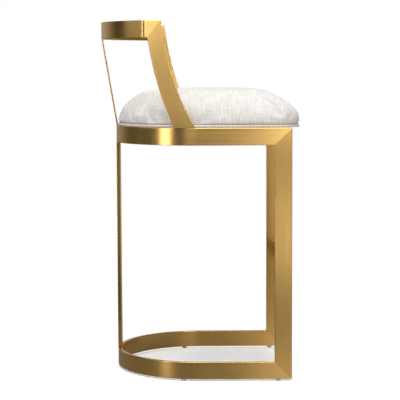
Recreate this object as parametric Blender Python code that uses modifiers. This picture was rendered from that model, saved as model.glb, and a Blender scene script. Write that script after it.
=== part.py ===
"""Bar stool: a flat-bar metal frame with a footrest, a low back band and an upholstered seat.

The frame is bar of one section, stood on edge. Two hoops of the same plan, a half circle with
straight sides, lie one at the floor and one under the seat. Two front legs, mitred into both,
and one rear leg join them. Two curved arms and a thin strut stand on the seat hoop and carry a
curved band. The seat is a domed cushion on a plywood board, screwed to tabs inside the hoop.

Axes: +X is the stool's front, +Y the sitter's left, +Z up. The origin is on the floor, at the
centre of the stool's box. Lengths are in metres.
"""
import math

import bmesh
import bpy
from mathutils import Matrix, Vector

# Overall sizes
FRAME_WIDTH = 0.451
SEAT_RAIL_TOP = 0.661
BACK_RISE = 0.276
SIDE_RUN = 0.2385
BACK_OVERHANG = 0.0385

# Flat bar of the frame
BAR_WIDTH = 0.045
BAR_THICKNESS = 0.010
EDGE_ROUND = 0.0025

# Glides
GLIDE_HEIGHT = 0.005
GLIDE_DIAMETER = 0.012
GLIDE_FRONT_INSET = 0.036
GLIDE_REAR_SETBACK = 0.045
STUD_DIAMETER = 0.004
STUD_LENGTH = 0.012
STUD_IN_GLIDE = 0.003
GLIDE_ROUNDING = 0.001

# Footrest
FOOTREST_TOP = 0.300

# Arms, band and strut; setbacks are measured back from the centre of the hoops' half circle
ARM_FRONT_FOOT_SETBACK = 0.0100
ARM_FRONT_HEAD_SETBACK = 0.0985
ARM_FRONT_FOOT_LEAN = math.radians(31)
ARM_FRONT_HEAD_LEAN = math.radians(8)
ARM_REAR_FOOT_SETBACK = 0.0660
ARM_REAR_HEAD_SETBACK = 0.1330
ARM_REAR_FOOT_LEAN = math.radians(24)
ARM_REAR_HEAD_LEAN = math.radians(8.5)
ARM_HANDLE_SHARE = 0.36
BAND_BEND_SETBACK = 0.130
STRUT_WIDTH = 0.025
STRUT_THICKNESS = 0.003
STRUT_FOOT_INSET = 0.0009
STRUT_TOP_INSET = 0.0004

# Seat
SEAT_OVERHANG = 0.0220
SEAT_CORNER = 0.045
SEAT_CORNER_LEAST = 0.010
SEAT_REAR_MARGIN = 0.0005
CUSHION_WIDEST = 0.026
CUSHION_HEIGHT = 0.100
CROWN_POWER = 3.5
COVER_THICKNESS = 0.0015
WELT_DIAMETER = 0.007
FOAM_EASE = 0.0009
BOARD_THICKNESS = 0.012
DUST_COVER_THICKNESS = 0.0008

# Seat fixings
TAB_LENGTH = 0.045
TAB_WIDTH = 0.035
TAB_THICKNESS = 0.004
TAB_HOLE_REACH = 0.029
TAB_FRONT_INSET = 0.080
TAB_REAR_ANGLE = math.radians(38)
SCREW_DIAMETER = 0.006
SCREW_HEAD_DIAMETER = 0.0115
SCREW_HEAD_HEIGHT = 0.0033
SCREW_RIM_HEIGHT = 0.0011
SCREW_CROWN_SHARE = 0.6
SCREW_LENGTH = 0.014
SOCKET_WIDTH = 0.004
SOCKET_DEPTH = 0.002
TEE_FLANGE_DIAMETER = 0.019
TEE_FLANGE_THICKNESS = 0.0014
TEE_BARREL_DIAMETER = 0.0085
TEE_BARREL_LENGTH = 0.009

# Clearances
GAP = 0.0003
HOLE_CLEARANCE = 0.0006
CUT_MARGIN = 0.002

# Facets
ARC_STEPS = 40
BAND_STEPS = 24
ARM_STEPS = 12
TURN_STEPS = 16
SEAT_REAR_STEPS = 24
SEAT_CORNER_STEPS = 5
DOME_SHARES = (1, 0.985, 0.94, 0.86, 0.74, 0.56, 0.32)

# Worked-out sizes
RADIUS = FRAME_WIDTH / 2
MEAN_RADIUS = RADIUS - BAR_THICKNESS / 2
INNER_RADIUS = RADIUS - BAR_THICKNESS
BASE_BOTTOM = GLIDE_HEIGHT + GAP
BASE_TOP = BASE_BOTTOM + BAR_WIDTH
SEAT_RAIL_BOTTOM = SEAT_RAIL_TOP - BAR_WIDTH
BAND_TOP = SEAT_RAIL_TOP + BACK_RISE
BAND_BOTTOM = BAND_TOP - BAR_WIDTH
REAR_REACH = RADIUS + BACK_OVERHANG
FRONT_REACH = SIDE_RUN + SEAT_OVERHANG
ARC_CENTRE_X = (REAR_REACH - FRONT_REACH) / 2
SEAT_HALF_WIDTH = INNER_RADIUS - GAP
SEAT_REAR = RADIUS - STRUT_THICKNESS - STRUT_FOOT_INSET - SEAT_REAR_MARGIN - GAP
SKIRT_INSET = WELT_DIAMETER + GAP
COVER_BOTTOM = SEAT_RAIL_TOP + GAP
BOARD_INSET = SKIRT_INSET + COVER_THICKNESS + GAP
BOARD_BOTTOM = COVER_BOTTOM + DUST_COVER_THICKNESS + GAP
BOARD_TOP = BOARD_BOTTOM + BOARD_THICKNESS
TAB_TOP = SEAT_RAIL_TOP
TAB_BOTTOM = TAB_TOP - TAB_THICKNESS
SCREW_HOLE_DIAMETER = SCREW_DIAMETER + HOLE_CLEARANCE
TAB_EDGE_ROUND = TAB_THICKNESS / 8
STRUT_EDGE_ROUND = STRUT_THICKNESS / 4
ARM_FOOT_OVERRUN = BAR_WIDTH / 2
ARM_HEAD_OVERRUN = BAR_WIDTH * 3 / 2

# Colours
BRASS = (0.56, 0.38, 0.16)
STEEL = (0.55, 0.55, 0.56)
ZINC = (0.62, 0.62, 0.60)
GLIDE_GREY = (0.32, 0.31, 0.32)
PLYWOOD = (0.55, 0.40, 0.24)
FOAM_CREAM = (0.80, 0.74, 0.52)
FABRIC_IVORY = (0.83, 0.81, 0.76)
CAMBRIC_BLACK = (0.03, 0.03, 0.03)


# ---------------------------------------------------------------- scene and objects

def clear_scene():
    for thing in list(bpy.data.objects):
        bpy.data.objects.remove(thing, do_unlink=True)


def new_collection(name):
    group = bpy.data.collections.new(name)
    bpy.context.scene.collection.children.link(group)
    return group


clear_scene()
PARTS = new_collection("bar_stool")
CUTTERS = new_collection("cutters")
ORIGIN = bpy.data.objects.new("hoop_centre", None)
ORIGIN.location = (ARC_CENTRE_X, 0, 0)
PARTS.objects.link(ORIGIN)


def make_material(name, colour, roughness, metallic):
    material = bpy.data.materials.new(name)
    material.use_nodes = True
    shader = material.node_tree.nodes["Principled BSDF"]
    shader.inputs["Base Color"].default_value = (*colour, 1)
    shader.inputs["Roughness"].default_value = roughness
    shader.inputs["Metallic"].default_value = metallic
    return material


def brass(name):
    return make_material(name, BRASS, 0.32, 1.0)


def steel(name):
    return make_material(name, STEEL, 0.35, 1.0)


def zinc(name):
    return make_material(name, ZINC, 0.40, 1.0)


def plastic(name):
    return make_material(name, GLIDE_GREY, 0.50, 0.0)


def cloth(name, colour):
    return make_material(name, colour, 0.90, 0.0)


def add_object(name, mesh, collection=PARTS):
    thing = bpy.data.objects.new(name, mesh)
    thing.parent = ORIGIN
    collection.objects.link(thing)
    return thing


def mesh_from(bm, name):
    bmesh.ops.recalc_face_normals(bm, faces=bm.faces)
    mesh = bpy.data.meshes.new(name)
    bm.to_mesh(mesh)
    bm.free()
    return mesh


def finish(thing, material, smooth_angle=40):
    """Freeze the modifiers, shade curved faces smooth and give the piece its material."""
    freeze(thing)
    thing.data.shade_smooth()
    thing.data.set_sharp_from_angle(angle=math.radians(smooth_angle))
    thing.data.materials.clear()
    thing.data.materials.append(material)
    return thing


def freeze(thing):
    """Replace the object's mesh by the mesh that its modifiers make."""
    bpy.context.view_layer.update()
    graph = bpy.context.evaluated_depsgraph_get()
    mesh = bpy.data.meshes.new_from_object(thing.evaluated_get(graph))
    thing.modifiers.clear()
    thing.data = mesh
    return thing


def add_bevel(thing, width, segments=2, angle=50):
    bevel = thing.modifiers.new("round_edges", "BEVEL")
    bevel.width = width
    bevel.segments = segments
    bevel.limit_method = "ANGLE"
    bevel.angle_limit = math.radians(angle)
    return bevel


def add_cut(thing, cutter):
    cut = thing.modifiers.new("cut_" + cutter.name, "BOOLEAN")
    cut.operation = "DIFFERENCE"
    cut.solver = "EXACT"
    cut.object = cutter


def trim(thing, point, normal):
    """Cut off what lies on the normal's side of a plane, and close the cut faces."""
    bm = bmesh.new()
    bm.from_mesh(thing.data)
    everything = bm.verts[:] + bm.edges[:] + bm.faces[:]
    cut = bmesh.ops.bisect_plane(bm, geom=everything, dist=1e-7, plane_co=Vector(point),
                                 plane_no=Vector(normal), clear_outer=True)
    rim = [e for e in cut["geom_cut"] if isinstance(e, bmesh.types.BMEdge)]
    bmesh.ops.edgeloop_fill(bm, edges=rim)
    old_mesh = thing.data
    thing.data = mesh_from(bm, thing.name)
    bpy.data.meshes.remove(old_mesh)


# ---------------------------------------------------------------- shapes

def strip_bar(name, edge_a, edge_b):
    """A flat bar whose mid-surface spans two rows of points, with rounded edges."""
    bm = bmesh.new()
    row_a = [bm.verts.new(p) for p in edge_a]
    row_b = [bm.verts.new(p) for p in edge_b]
    for i in range(len(row_a) - 1):
        bm.faces.new((row_a[i], row_a[i + 1], row_b[i + 1], row_b[i]))
    bar = add_object(name, mesh_from(bm, name))
    wall = bar.modifiers.new("bar_thickness", "SOLIDIFY")
    wall.thickness = BAR_THICKNESS
    wall.offset = 0
    wall.use_even_offset = True
    add_bevel(bar, EDGE_ROUND)
    return freeze(bar)


def box(name, low, high, bevel=0.0):
    """A box between two corners, with rounded edges where bevel is given."""
    low = Vector(low)
    high = Vector(high)
    bm = bmesh.new()
    bmesh.ops.create_cube(bm, size=1)
    bmesh.ops.scale(bm, verts=bm.verts, vec=high - low)
    bmesh.ops.translate(bm, verts=bm.verts, vec=(low + high) / 2)
    thing = add_object(name, mesh_from(bm, name))
    if bevel:
        add_bevel(thing, bevel)
    return freeze(thing)


def cylinder_cutter(name, diameter, low, high, x, y, sides=24):
    bm = bmesh.new()
    bmesh.ops.create_cone(bm, cap_ends=True, segments=sides, radius1=diameter / 2,
                          radius2=diameter / 2, depth=high - low)
    bmesh.ops.translate(bm, verts=bm.verts, vec=(x, y, (low + high) / 2))
    cutter = add_object(name, mesh_from(bm, name), CUTTERS)
    cutter.hide_render = True
    cutter.display_type = "WIRE"
    return cutter


def turned(name, profile, x, y, material):
    """A turned piece: a closed (radius, height) profile screwed round its own axis."""
    bm = bmesh.new()
    row = [bm.verts.new((r, 0, z)) for r, z in profile]
    for a, b in zip(row, row[1:]):
        bm.edges.new((a, b))
    mesh = bpy.data.meshes.new(name)
    bm.to_mesh(mesh)
    bm.free()
    thing = add_object(name, mesh)
    thing.location = (x, y, 0)
    screw = thing.modifiers.new("turn", "SCREW")
    screw.steps = TURN_STEPS
    screw.render_steps = TURN_STEPS
    screw.use_merge_vertices = True
    screw.merge_threshold = 0.00001
    thing.data.materials.append(material)
    return thing


def outline_plate(name, outline, low, high):
    """A flat plate of any outline, from a filled 2D curve with a thickness."""
    curve = bpy.data.curves.new(name, "CURVE")
    curve.dimensions = "2D"
    curve.fill_mode = "BOTH"
    curve.extrude = (high - low) / 2
    spline = curve.splines.new("POLY")
    spline.points.add(len(outline) - 1)
    for point, (x, y) in zip(spline.points, outline):
        point.co = (x, y, 0, 1)
    spline.use_cyclic_u = True
    guide = bpy.data.objects.new(name + "_outline", curve)
    CUTTERS.objects.link(guide)
    bpy.context.view_layer.update()
    graph = bpy.context.evaluated_depsgraph_get()
    flat = bpy.data.meshes.new_from_object(guide.evaluated_get(graph))
    bpy.data.objects.remove(guide, do_unlink=True)
    bm = bmesh.new()
    bm.from_mesh(flat)
    bmesh.ops.remove_doubles(bm, verts=bm.verts, dist=0.00001)
    bmesh.ops.translate(bm, verts=bm.verts, vec=(0, 0, (low + high) / 2))
    bpy.data.meshes.remove(flat)
    return add_object(name, mesh_from(bm, name))


# ---------------------------------------------------------------- frame

def hoop_path(radius):
    """The hoop's plan: along one side, round the half circle and back along the other."""
    overrun = SIDE_RUN + CUT_MARGIN
    path = [(overrun, radius)]
    for i in range(ARC_STEPS + 1):
        turn = math.pi * i / ARC_STEPS
        path.append((-radius * math.sin(turn), radius * math.cos(turn)))
    path.append((overrun, -radius))
    return path


def mitre(thing, low_corner, high_corner, side):
    """Trim at the mitre plane through two corners of the side view, on one side of it."""
    (x0, z0), (x1, z1) = low_corner, high_corner
    normal = Vector((z1 - z0, 0, x0 - x1)).normalized() * side
    point = Vector((x0, 0, z0)) - normal * GAP / 2
    trim(thing, point, normal)


def make_hoop(name, bottom, top, low_corner, high_corner):
    """A hoop of flat bar on edge, mitred at both ends to meet the front legs."""
    plan = hoop_path(MEAN_RADIUS)
    hoop = strip_bar(name, [(x, y, bottom) for x, y in plan], [(x, y, top) for x, y in plan])
    mitre(hoop, low_corner, high_corner, side=1)
    return hoop


def make_hoops():
    front = SIDE_RUN
    leg_rear = SIDE_RUN - BAR_WIDTH
    base = make_hoop("base_hoop", BASE_BOTTOM, BASE_TOP, (front, BASE_BOTTOM), (leg_rear, BASE_TOP))
    seat = make_hoop("seat_hoop", SEAT_RAIL_BOTTOM, SEAT_RAIL_TOP,
                     (leg_rear, SEAT_RAIL_BOTTOM), (front, SEAT_RAIL_TOP))
    return base, seat


def make_front_leg(name, side):
    """A front leg, mitred at 45 degrees into the base hoop and the seat hoop."""
    front = SIDE_RUN
    rear = SIDE_RUN - BAR_WIDTH
    y = side * MEAN_RADIUS
    half = BAR_THICKNESS / 2
    leg = box(name, (rear, y - half, BASE_BOTTOM - CUT_MARGIN),
              (front, y + half, SEAT_RAIL_TOP + CUT_MARGIN), bevel=EDGE_ROUND)
    mitre(leg, (front, BASE_BOTTOM), (rear, BASE_TOP), side=-1)
    mitre(leg, (rear, SEAT_RAIL_BOTTOM), (front, SEAT_RAIL_TOP), side=-1)
    return finish(leg, brass(name))


def upright(name, outer, inner, width, low, high):
    """A straight bar on end between two heights, its long edges rounded and its ends square."""
    bar = box(name, (-outer, -width / 2, low - CUT_MARGIN), (-inner, width / 2, high + CUT_MARGIN),
              bevel=EDGE_ROUND)
    trim(bar, (0, 0, low), (0, 0, -1))
    trim(bar, (0, 0, high), (0, 0, 1))
    return finish(bar, brass(name))


def make_cross_bar(name, top):
    """A bar on edge between the front legs, flush with their front edges."""
    half_span = INNER_RADIUS - GAP
    over = half_span + CUT_MARGIN
    bar = box(name, (SIDE_RUN - BAR_THICKNESS, -over, top - BAR_WIDTH), (SIDE_RUN, over, top),
              bevel=EDGE_ROUND)
    trim(bar, (0, half_span, 0), (0, 1, 0))
    trim(bar, (0, -half_span, 0), (0, -1, 0))
    return finish(bar, brass(name))


def leaning_curve(foot, foot_lean, head, head_lean):
    """A cubic curve of (x, z) points between two ends that lean back, run on straight at both."""
    foot = Vector(foot)
    head = Vector(head)
    up_foot = Vector((-math.sin(foot_lean), math.cos(foot_lean)))
    up_head = Vector((-math.sin(head_lean), math.cos(head_lean)))
    reach = (head - foot).length * ARM_HANDLE_SHARE
    handle_a = foot + up_foot * reach
    handle_b = head - up_head * reach
    points = []
    for i in range(ARM_STEPS + 1):
        t = i / ARM_STEPS
        s = 1 - t
        points.append(foot * s ** 3 + handle_a * 3 * s * s * t + handle_b * 3 * s * t * t + head * t ** 3)
    return [foot - up_foot * ARM_FOOT_OVERRUN] + points + [head + up_head * ARM_HEAD_OVERRUN]


def arm_edges():
    """The arm's front and rear edges in the side view; the bar flares a little at its foot."""
    front = leaning_curve((-ARM_FRONT_FOOT_SETBACK, SEAT_RAIL_TOP), ARM_FRONT_FOOT_LEAN,
                          (-ARM_FRONT_HEAD_SETBACK, BAND_TOP), ARM_FRONT_HEAD_LEAN)
    rear = leaning_curve((-ARM_REAR_FOOT_SETBACK, SEAT_RAIL_TOP), ARM_REAR_FOOT_LEAN,
                         (-ARM_REAR_HEAD_SETBACK, BAND_BOTTOM), ARM_REAR_HEAD_LEAN)
    return front, rear


def x_at_height(edge, height):
    """Where an edge that only rises crosses a height."""
    for a, b in zip(edge, edge[1:]):
        if a.y <= height <= b.y:
            return a.x + (b.x - a.x) * (height - a.y) / (b.y - a.y)
    return edge[-1].x


def band_mitre():
    """The two corners of the mitre between arm and band: lower at the rear, upper at the front."""
    front, rear = arm_edges()
    return (x_at_height(rear, BAND_BOTTOM), BAND_BOTTOM), (x_at_height(front, BAND_TOP), BAND_TOP)


def make_arm(name, side):
    """A curved arm of flat bar, standing on the seat hoop and mitred into the back band."""
    front, rear = arm_edges()
    y = side * MEAN_RADIUS
    arm = strip_bar(name, [(p.x, y, p.y) for p in rear], [(p.x, y, p.y) for p in front])
    trim(arm, (0, 0, SEAT_RAIL_TOP + GAP), (0, 0, -1))
    low_corner, high_corner = band_mitre()
    mitre(arm, low_corner, high_corner, side=-1)
    return finish(arm, brass(name))


def band_path():
    """The band's plan at mid-thickness: a short straight end, an arc, and the other end."""
    half_width = MEAN_RADIUS
    start = -BAND_BEND_SETBACK
    depth = REAR_REACH - BAR_THICKNESS / 2 - BAND_BEND_SETBACK
    radius = (half_width ** 2 + depth ** 2) / (2 * depth)
    centre = start - depth + radius
    half_turn = math.atan2(half_width, centre - start)
    _, upper_corner = band_mitre()
    end_x = upper_corner[0] + BAR_WIDTH / 2
    path = [(end_x, half_width)]
    for i in range(BAND_STEPS + 1):
        turn = half_turn * (1 - 2 * i / BAND_STEPS)
        path.append((centre - radius * math.cos(turn), radius * math.sin(turn)))
    path.append((end_x, -half_width))
    return path


def make_back_band():
    """The curved band of the back, mitred at both ends to meet the arms."""
    plan = band_path()
    band = strip_bar("back_band", [(x, y, BAND_BOTTOM) for x, y in plan],
                     [(x, y, BAND_TOP) for x, y in plan])
    low_corner, high_corner = band_mitre()
    mitre(band, low_corner, high_corner, side=1)
    return finish(band, brass("back_band"))


def make_back_strut():
    """A thin strip that leans back from the seat hoop's rear to the band's lower edge."""
    low = SEAT_RAIL_TOP + GAP
    high = BAND_BOTTOM - GAP
    foot_x = -(RADIUS - STRUT_FOOT_INSET - STRUT_THICKNESS / 2)
    head_x = -(REAR_REACH - STRUT_TOP_INSET - STRUT_THICKNESS / 2)
    lean = math.atan2(foot_x - head_x, high - low)
    length = (high - low) / math.cos(lean) + 2 * BAR_THICKNESS
    strut = box("back_strut", (-STRUT_THICKNESS / 2, -STRUT_WIDTH / 2, -length / 2),
                (STRUT_THICKNESS / 2, STRUT_WIDTH / 2, length / 2), bevel=STRUT_EDGE_ROUND)
    middle = Vector(((foot_x + head_x) / 2, 0, (low + high) / 2))
    strut.data.transform(Matrix.Translation(middle) @ Matrix.Rotation(-lean, 4, "Y"))
    trim(strut, (0, 0, low), (0, 0, -1))
    trim(strut, (0, 0, high), (0, 0, 1))
    return finish(strut, brass("back_strut"))


# ---------------------------------------------------------------- glides

def glide_places():
    """Name and centre of each glide: two near the legs, two just behind the straight sides."""
    front_x = SIDE_RUN - GLIDE_FRONT_INSET
    rear_y = math.sqrt(MEAN_RADIUS ** 2 - GLIDE_REAR_SETBACK ** 2)
    places = []
    for word, side in (("left", 1), ("right", -1)):
        places.append(("front_" + word, front_x, side * MEAN_RADIUS))
        places.append(("rear_" + word, -GLIDE_REAR_SETBACK, side * rear_y))
    return places


def make_glides(base_hoop):
    """Plastic pads on threaded studs, which stand in blind holes in the hoop's lower edge."""
    radius = GLIDE_DIAMETER / 2
    stud_radius = STUD_DIAMETER / 2
    hole_radius = stud_radius + GAP
    stud_low = GLIDE_HEIGHT - STUD_IN_GLIDE + GAP
    pad_profile = [(0, GLIDE_HEIGHT - STUD_IN_GLIDE), (hole_radius, GLIDE_HEIGHT - STUD_IN_GLIDE),
                   (hole_radius, GLIDE_HEIGHT), (radius, GLIDE_HEIGHT), (radius, GLIDE_ROUNDING),
                   (radius - GLIDE_ROUNDING, 0), (0, 0)]
    stud_profile = [(0, stud_low + STUD_LENGTH), (stud_radius, stud_low + STUD_LENGTH),
                    (stud_radius, stud_low), (0, stud_low)]
    for place, x, y in glide_places():
        turned("glide_pad_" + place, pad_profile, x, y, plastic("glide_pad_" + place))
        turned("glide_stud_" + place, stud_profile, x, y, zinc("glide_stud_" + place))
        hole = cylinder_cutter("stud_hole_" + place, STUD_DIAMETER + HOLE_CLEARANCE,
                               BASE_BOTTOM - CUT_MARGIN, stud_low + STUD_LENGTH + GAP, x, y)
        add_cut(base_hoop, hole)


# ---------------------------------------------------------------- seat

def seat_outline(inset):
    """The seat's plan as (x, y) points, a distance in from its widest line.

    The rear is a half ellipse, the sides are straight and the front corners are rounded.
    """
    half = SEAT_HALF_WIDTH - inset
    rear = SEAT_REAR - inset
    front = FRONT_REACH - inset
    corner = max(SEAT_CORNER - inset, SEAT_CORNER_LEAST)
    points = []
    for i in range(SEAT_REAR_STEPS + 1):
        turn = math.pi * i / SEAT_REAR_STEPS
        points.append((-rear * math.sin(turn), half * math.cos(turn)))
    for side in (-1, 1):
        for i in range(SEAT_CORNER_STEPS + 1):
            turn = math.pi / 2 * i / SEAT_CORNER_STEPS
            if side > 0:
                turn = math.pi / 2 - turn
            x = front - corner + corner * math.sin(turn)
            y = side * (half - corner + corner * math.cos(turn))
            points.append((x, y))
        if side < 0:
            points.append((front, 0))
    return points


def seat_ring(inset, share, height):
    """An outline at a height, drawn in towards the seat's middle by a share of its size."""
    middle = (FRONT_REACH - SEAT_REAR) / 2
    return [(middle + (x - middle) * share, y * share, height) for x, y in seat_outline(inset)]


def cushion_rings(inset, drop, skirt):
    """Rings of the cushion from its skirt, over the widest line and up the dome."""
    widest = SEAT_RAIL_TOP + CUSHION_WIDEST
    rise = CUSHION_HEIGHT - CUSHION_WIDEST - drop
    rings = [seat_ring(inset + skirt_inset, 1, height) for skirt_inset, height in skirt]
    for share in DOME_SHARES:
        height = widest + rise * math.sqrt(1 - share ** CROWN_POWER)
        rings.append(seat_ring(inset, share, height))
    return rings, widest + rise


def loft(name, rings, crown, closed):
    """Skin a stack of rings, with a point at the crown and, if closed, a flat floor."""
    bm = bmesh.new()
    rows = [[bm.verts.new(p) for p in ring] for ring in rings]
    count = len(rows[0])
    for lower, upper in zip(rows, rows[1:]):
        for i in range(count):
            j = (i + 1) % count
            bm.faces.new((lower[i], lower[j], upper[j], upper[i]))
    middle = (FRONT_REACH - SEAT_REAR) / 2
    tip = bm.verts.new((middle, 0, crown))
    for i in range(count):
        bm.faces.new((rows[-1][i], rows[-1][(i + 1) % count], tip))
    if closed:
        bm.faces.new(rows[0])
    return add_object(name, mesh_from(bm, name))


def make_seat_cover():
    """The woven cover: a thin domed shell, open below, standing inside the welt."""
    skirt_top = COVER_BOTTOM + WELT_DIAMETER + GAP
    skirt = [(SKIRT_INSET, COVER_BOTTOM), (SKIRT_INSET, skirt_top)]
    rings, crown = cushion_rings(0, 0, skirt)
    cover = loft("seat_cover", rings, crown, closed=False)
    wall = cover.modifiers.new("cloth", "SOLIDIFY")
    wall.thickness = COVER_THICKNESS
    wall.offset = -1
    wall.use_even_offset = True
    return finish(cover, cloth("seat_cover", FABRIC_IVORY), 60)


def make_seat_foam():
    """The foam block, which fills the cover down to the board."""
    inset = COVER_THICKNESS + FOAM_EASE
    skirt_top = COVER_BOTTOM + WELT_DIAMETER + GAP
    foam_bottom = BOARD_TOP + GAP
    widest = SEAT_RAIL_TOP + CUSHION_WIDEST
    bottom_inset = SKIRT_INSET * (widest - foam_bottom) / (widest - skirt_top)
    rings, crown = cushion_rings(inset, inset, [(bottom_inset, foam_bottom)])
    foam = loft("seat_foam", rings, crown, closed=True)
    return finish(foam, cloth("seat_foam", FOAM_CREAM), 60)


def make_seat_welt():
    """The piping round the cushion's bottom edge, a closed tube."""
    radius = WELT_DIAMETER / 2
    outline = seat_outline(radius)
    curve = bpy.data.curves.new("seat_welt", "CURVE")
    curve.dimensions = "3D"
    curve.bevel_depth = radius
    curve.bevel_resolution = 2
    spline = curve.splines.new("POLY")
    spline.points.add(len(outline) - 1)
    for point, (x, y) in zip(spline.points, outline):
        point.co = (x, y, COVER_BOTTOM + radius, 1)
    spline.use_cyclic_u = True
    welt = bpy.data.objects.new("seat_welt", curve)
    welt.parent = ORIGIN
    PARTS.objects.link(welt)
    curve.materials.append(cloth("seat_welt", FABRIC_IVORY))
    return welt


def fixing_places():
    """Name, centre and direction out to the hoop's wall of each of the four seat fixings."""
    front_x = SIDE_RUN - TAB_FRONT_INSET
    places = []
    for word, side in (("left", 1), ("right", -1)):
        out = Vector((0, side, 0))
        places.append(("front_" + word, Vector((front_x, 0, 0)), out))
        out = Vector((-math.cos(TAB_REAR_ANGLE), side * math.sin(TAB_REAR_ANGLE), 0))
        places.append(("rear_" + word, Vector((0, 0, 0)), out))
    return places


def make_tab(place, base, out, hole):
    """A plate welded inside the seat hoop, level with its top."""
    corner_gap = INNER_RADIUS - math.sqrt(INNER_RADIUS ** 2 - (TAB_WIDTH / 2) ** 2)
    outer = INNER_RADIUS - GAP - corner_gap
    tab = box("seat_tab_" + place, (outer - TAB_LENGTH, -TAB_WIDTH / 2, TAB_BOTTOM),
              (outer, TAB_WIDTH / 2, TAB_TOP), bevel=TAB_EDGE_ROUND)
    turn = Vector((1, 0)).angle_signed(Vector((out.x, out.y)))
    tab.data.transform(Matrix.Translation(base) @ Matrix.Rotation(-turn, 4, "Z"))
    add_cut(tab, hole)
    return finish(tab, brass("seat_tab_" + place))


def make_screw(place, x, y):
    """A button-head screw from below, with a hexagon socket."""
    top = TAB_BOTTOM - GAP
    low = top - SCREW_HEAD_HEIGHT
    head = SCREW_HEAD_DIAMETER / 2
    shank = SCREW_DIAMETER / 2
    profile = [(0, top + SCREW_LENGTH), (shank, top + SCREW_LENGTH), (shank, top), (head, top),
               (head, top - SCREW_RIM_HEIGHT), (head * SCREW_CROWN_SHARE, low), (0, low)]
    screw = turned("seat_screw_" + place, profile, x, y, zinc("seat_screw_" + place))
    socket = cylinder_cutter("socket_" + place, SOCKET_WIDTH / math.cos(math.pi / 6),
                             low - CUT_MARGIN, low + SOCKET_DEPTH, x, y, sides=6)
    add_cut(screw, socket)
    return screw


def make_tee_nut(place, x, y):
    """A tee nut: a flange let into the board's top, and a barrel down its hole."""
    top = BOARD_TOP
    under = top - TEE_FLANGE_THICKNESS
    low = under - TEE_BARREL_LENGTH
    bore = SCREW_HOLE_DIAMETER / 2
    flange = TEE_FLANGE_DIAMETER / 2
    barrel = TEE_BARREL_DIAMETER / 2
    profile = [(bore, top), (flange, top), (flange, under), (barrel, under), (barrel, low),
               (bore, low), (bore, top)]
    return turned("tee_nut_" + place, profile, x, y, zinc("tee_nut_" + place))


def make_seat_base():
    """Board, dust cover and the four sets of tab, screw and tee nut."""
    board = outline_plate("seat_board", seat_outline(BOARD_INSET), BOARD_BOTTOM, BOARD_TOP)
    dust_cover = outline_plate("dust_cover", seat_outline(BOARD_INSET), COVER_BOTTOM,
                               COVER_BOTTOM + DUST_COVER_THICKNESS)
    for place, base, out in fixing_places():
        centre = base + out * (INNER_RADIUS - TAB_HOLE_REACH)
        x, y = centre.x, centre.y
        hole = cylinder_cutter("screw_hole_" + place, SCREW_HOLE_DIAMETER + HOLE_CLEARANCE,
                               TAB_BOTTOM - CUT_MARGIN, BOARD_BOTTOM - GAP / 2, x, y)
        barrel_hole = cylinder_cutter("barrel_hole_" + place, TEE_BARREL_DIAMETER + HOLE_CLEARANCE,
                                      BOARD_BOTTOM - CUT_MARGIN, BOARD_TOP + CUT_MARGIN, x, y)
        flange_seat = cylinder_cutter("flange_seat_" + place, TEE_FLANGE_DIAMETER + HOLE_CLEARANCE,
                                      BOARD_TOP - TEE_FLANGE_THICKNESS - GAP, BOARD_TOP + CUT_MARGIN,
                                      x, y)
        add_cut(board, barrel_hole)
        add_cut(board, flange_seat)
        add_cut(dust_cover, hole)
        make_tab(place, base, out, hole)
        make_screw(place, x, y)
        make_tee_nut(place, x, y)
    finish(board, cloth("seat_board", PLYWOOD))
    finish(dust_cover, cloth("dust_cover", CAMBRIC_BLACK))


# ---------------------------------------------------------------- the stool

def main():
    base_hoop, seat_hoop = make_hoops()
    make_glides(base_hoop)
    finish(base_hoop, brass("base_hoop"))
    finish(seat_hoop, brass("seat_hoop"))
    for word, side in (("left", 1), ("right", -1)):
        make_front_leg("front_leg_" + word, side)
        make_arm("arm_" + word, side)
    upright("rear_leg", RADIUS - GAP, INNER_RADIUS - GAP, BAR_WIDTH, BASE_TOP + GAP,
            SEAT_RAIL_BOTTOM - GAP)
    make_cross_bar("front_seat_rail", SEAT_RAIL_TOP)
    make_cross_bar("footrest_bar", FOOTREST_TOP)
    make_back_band()
    make_back_strut()
    make_seat_base()
    make_seat_foam()
    make_seat_cover()
    make_seat_welt()


main()
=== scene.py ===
# %% [markdown]
# # A bar stool in brushed brass and woven ivory
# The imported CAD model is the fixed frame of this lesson: it says where every bar, screw and board
# is. The lesson builds the looks around it, one piece at a time, and never moves a CAD part.
# Everything is in metres, +X is the front of the stool and +Z is up.

# %% Load the frame
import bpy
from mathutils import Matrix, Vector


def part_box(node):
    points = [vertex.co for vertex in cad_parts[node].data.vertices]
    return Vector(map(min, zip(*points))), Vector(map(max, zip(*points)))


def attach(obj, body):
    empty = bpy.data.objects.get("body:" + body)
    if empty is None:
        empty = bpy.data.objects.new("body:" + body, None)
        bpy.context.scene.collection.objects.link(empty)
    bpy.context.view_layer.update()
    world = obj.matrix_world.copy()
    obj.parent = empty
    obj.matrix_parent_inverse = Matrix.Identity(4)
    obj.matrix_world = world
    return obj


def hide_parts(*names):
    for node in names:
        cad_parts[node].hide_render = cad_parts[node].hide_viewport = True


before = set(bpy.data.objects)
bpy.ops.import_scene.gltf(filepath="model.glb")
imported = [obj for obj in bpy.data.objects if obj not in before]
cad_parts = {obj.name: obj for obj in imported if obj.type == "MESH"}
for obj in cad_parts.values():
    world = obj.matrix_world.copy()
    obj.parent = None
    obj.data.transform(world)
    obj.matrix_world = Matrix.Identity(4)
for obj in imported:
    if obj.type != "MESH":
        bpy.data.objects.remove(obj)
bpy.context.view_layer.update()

print("CAD nodes:", len(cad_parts))

# %% Modules
import math

import bpy
import numpy as np
from mathutils import Matrix, Vector

SCENE = bpy.context.scene

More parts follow.
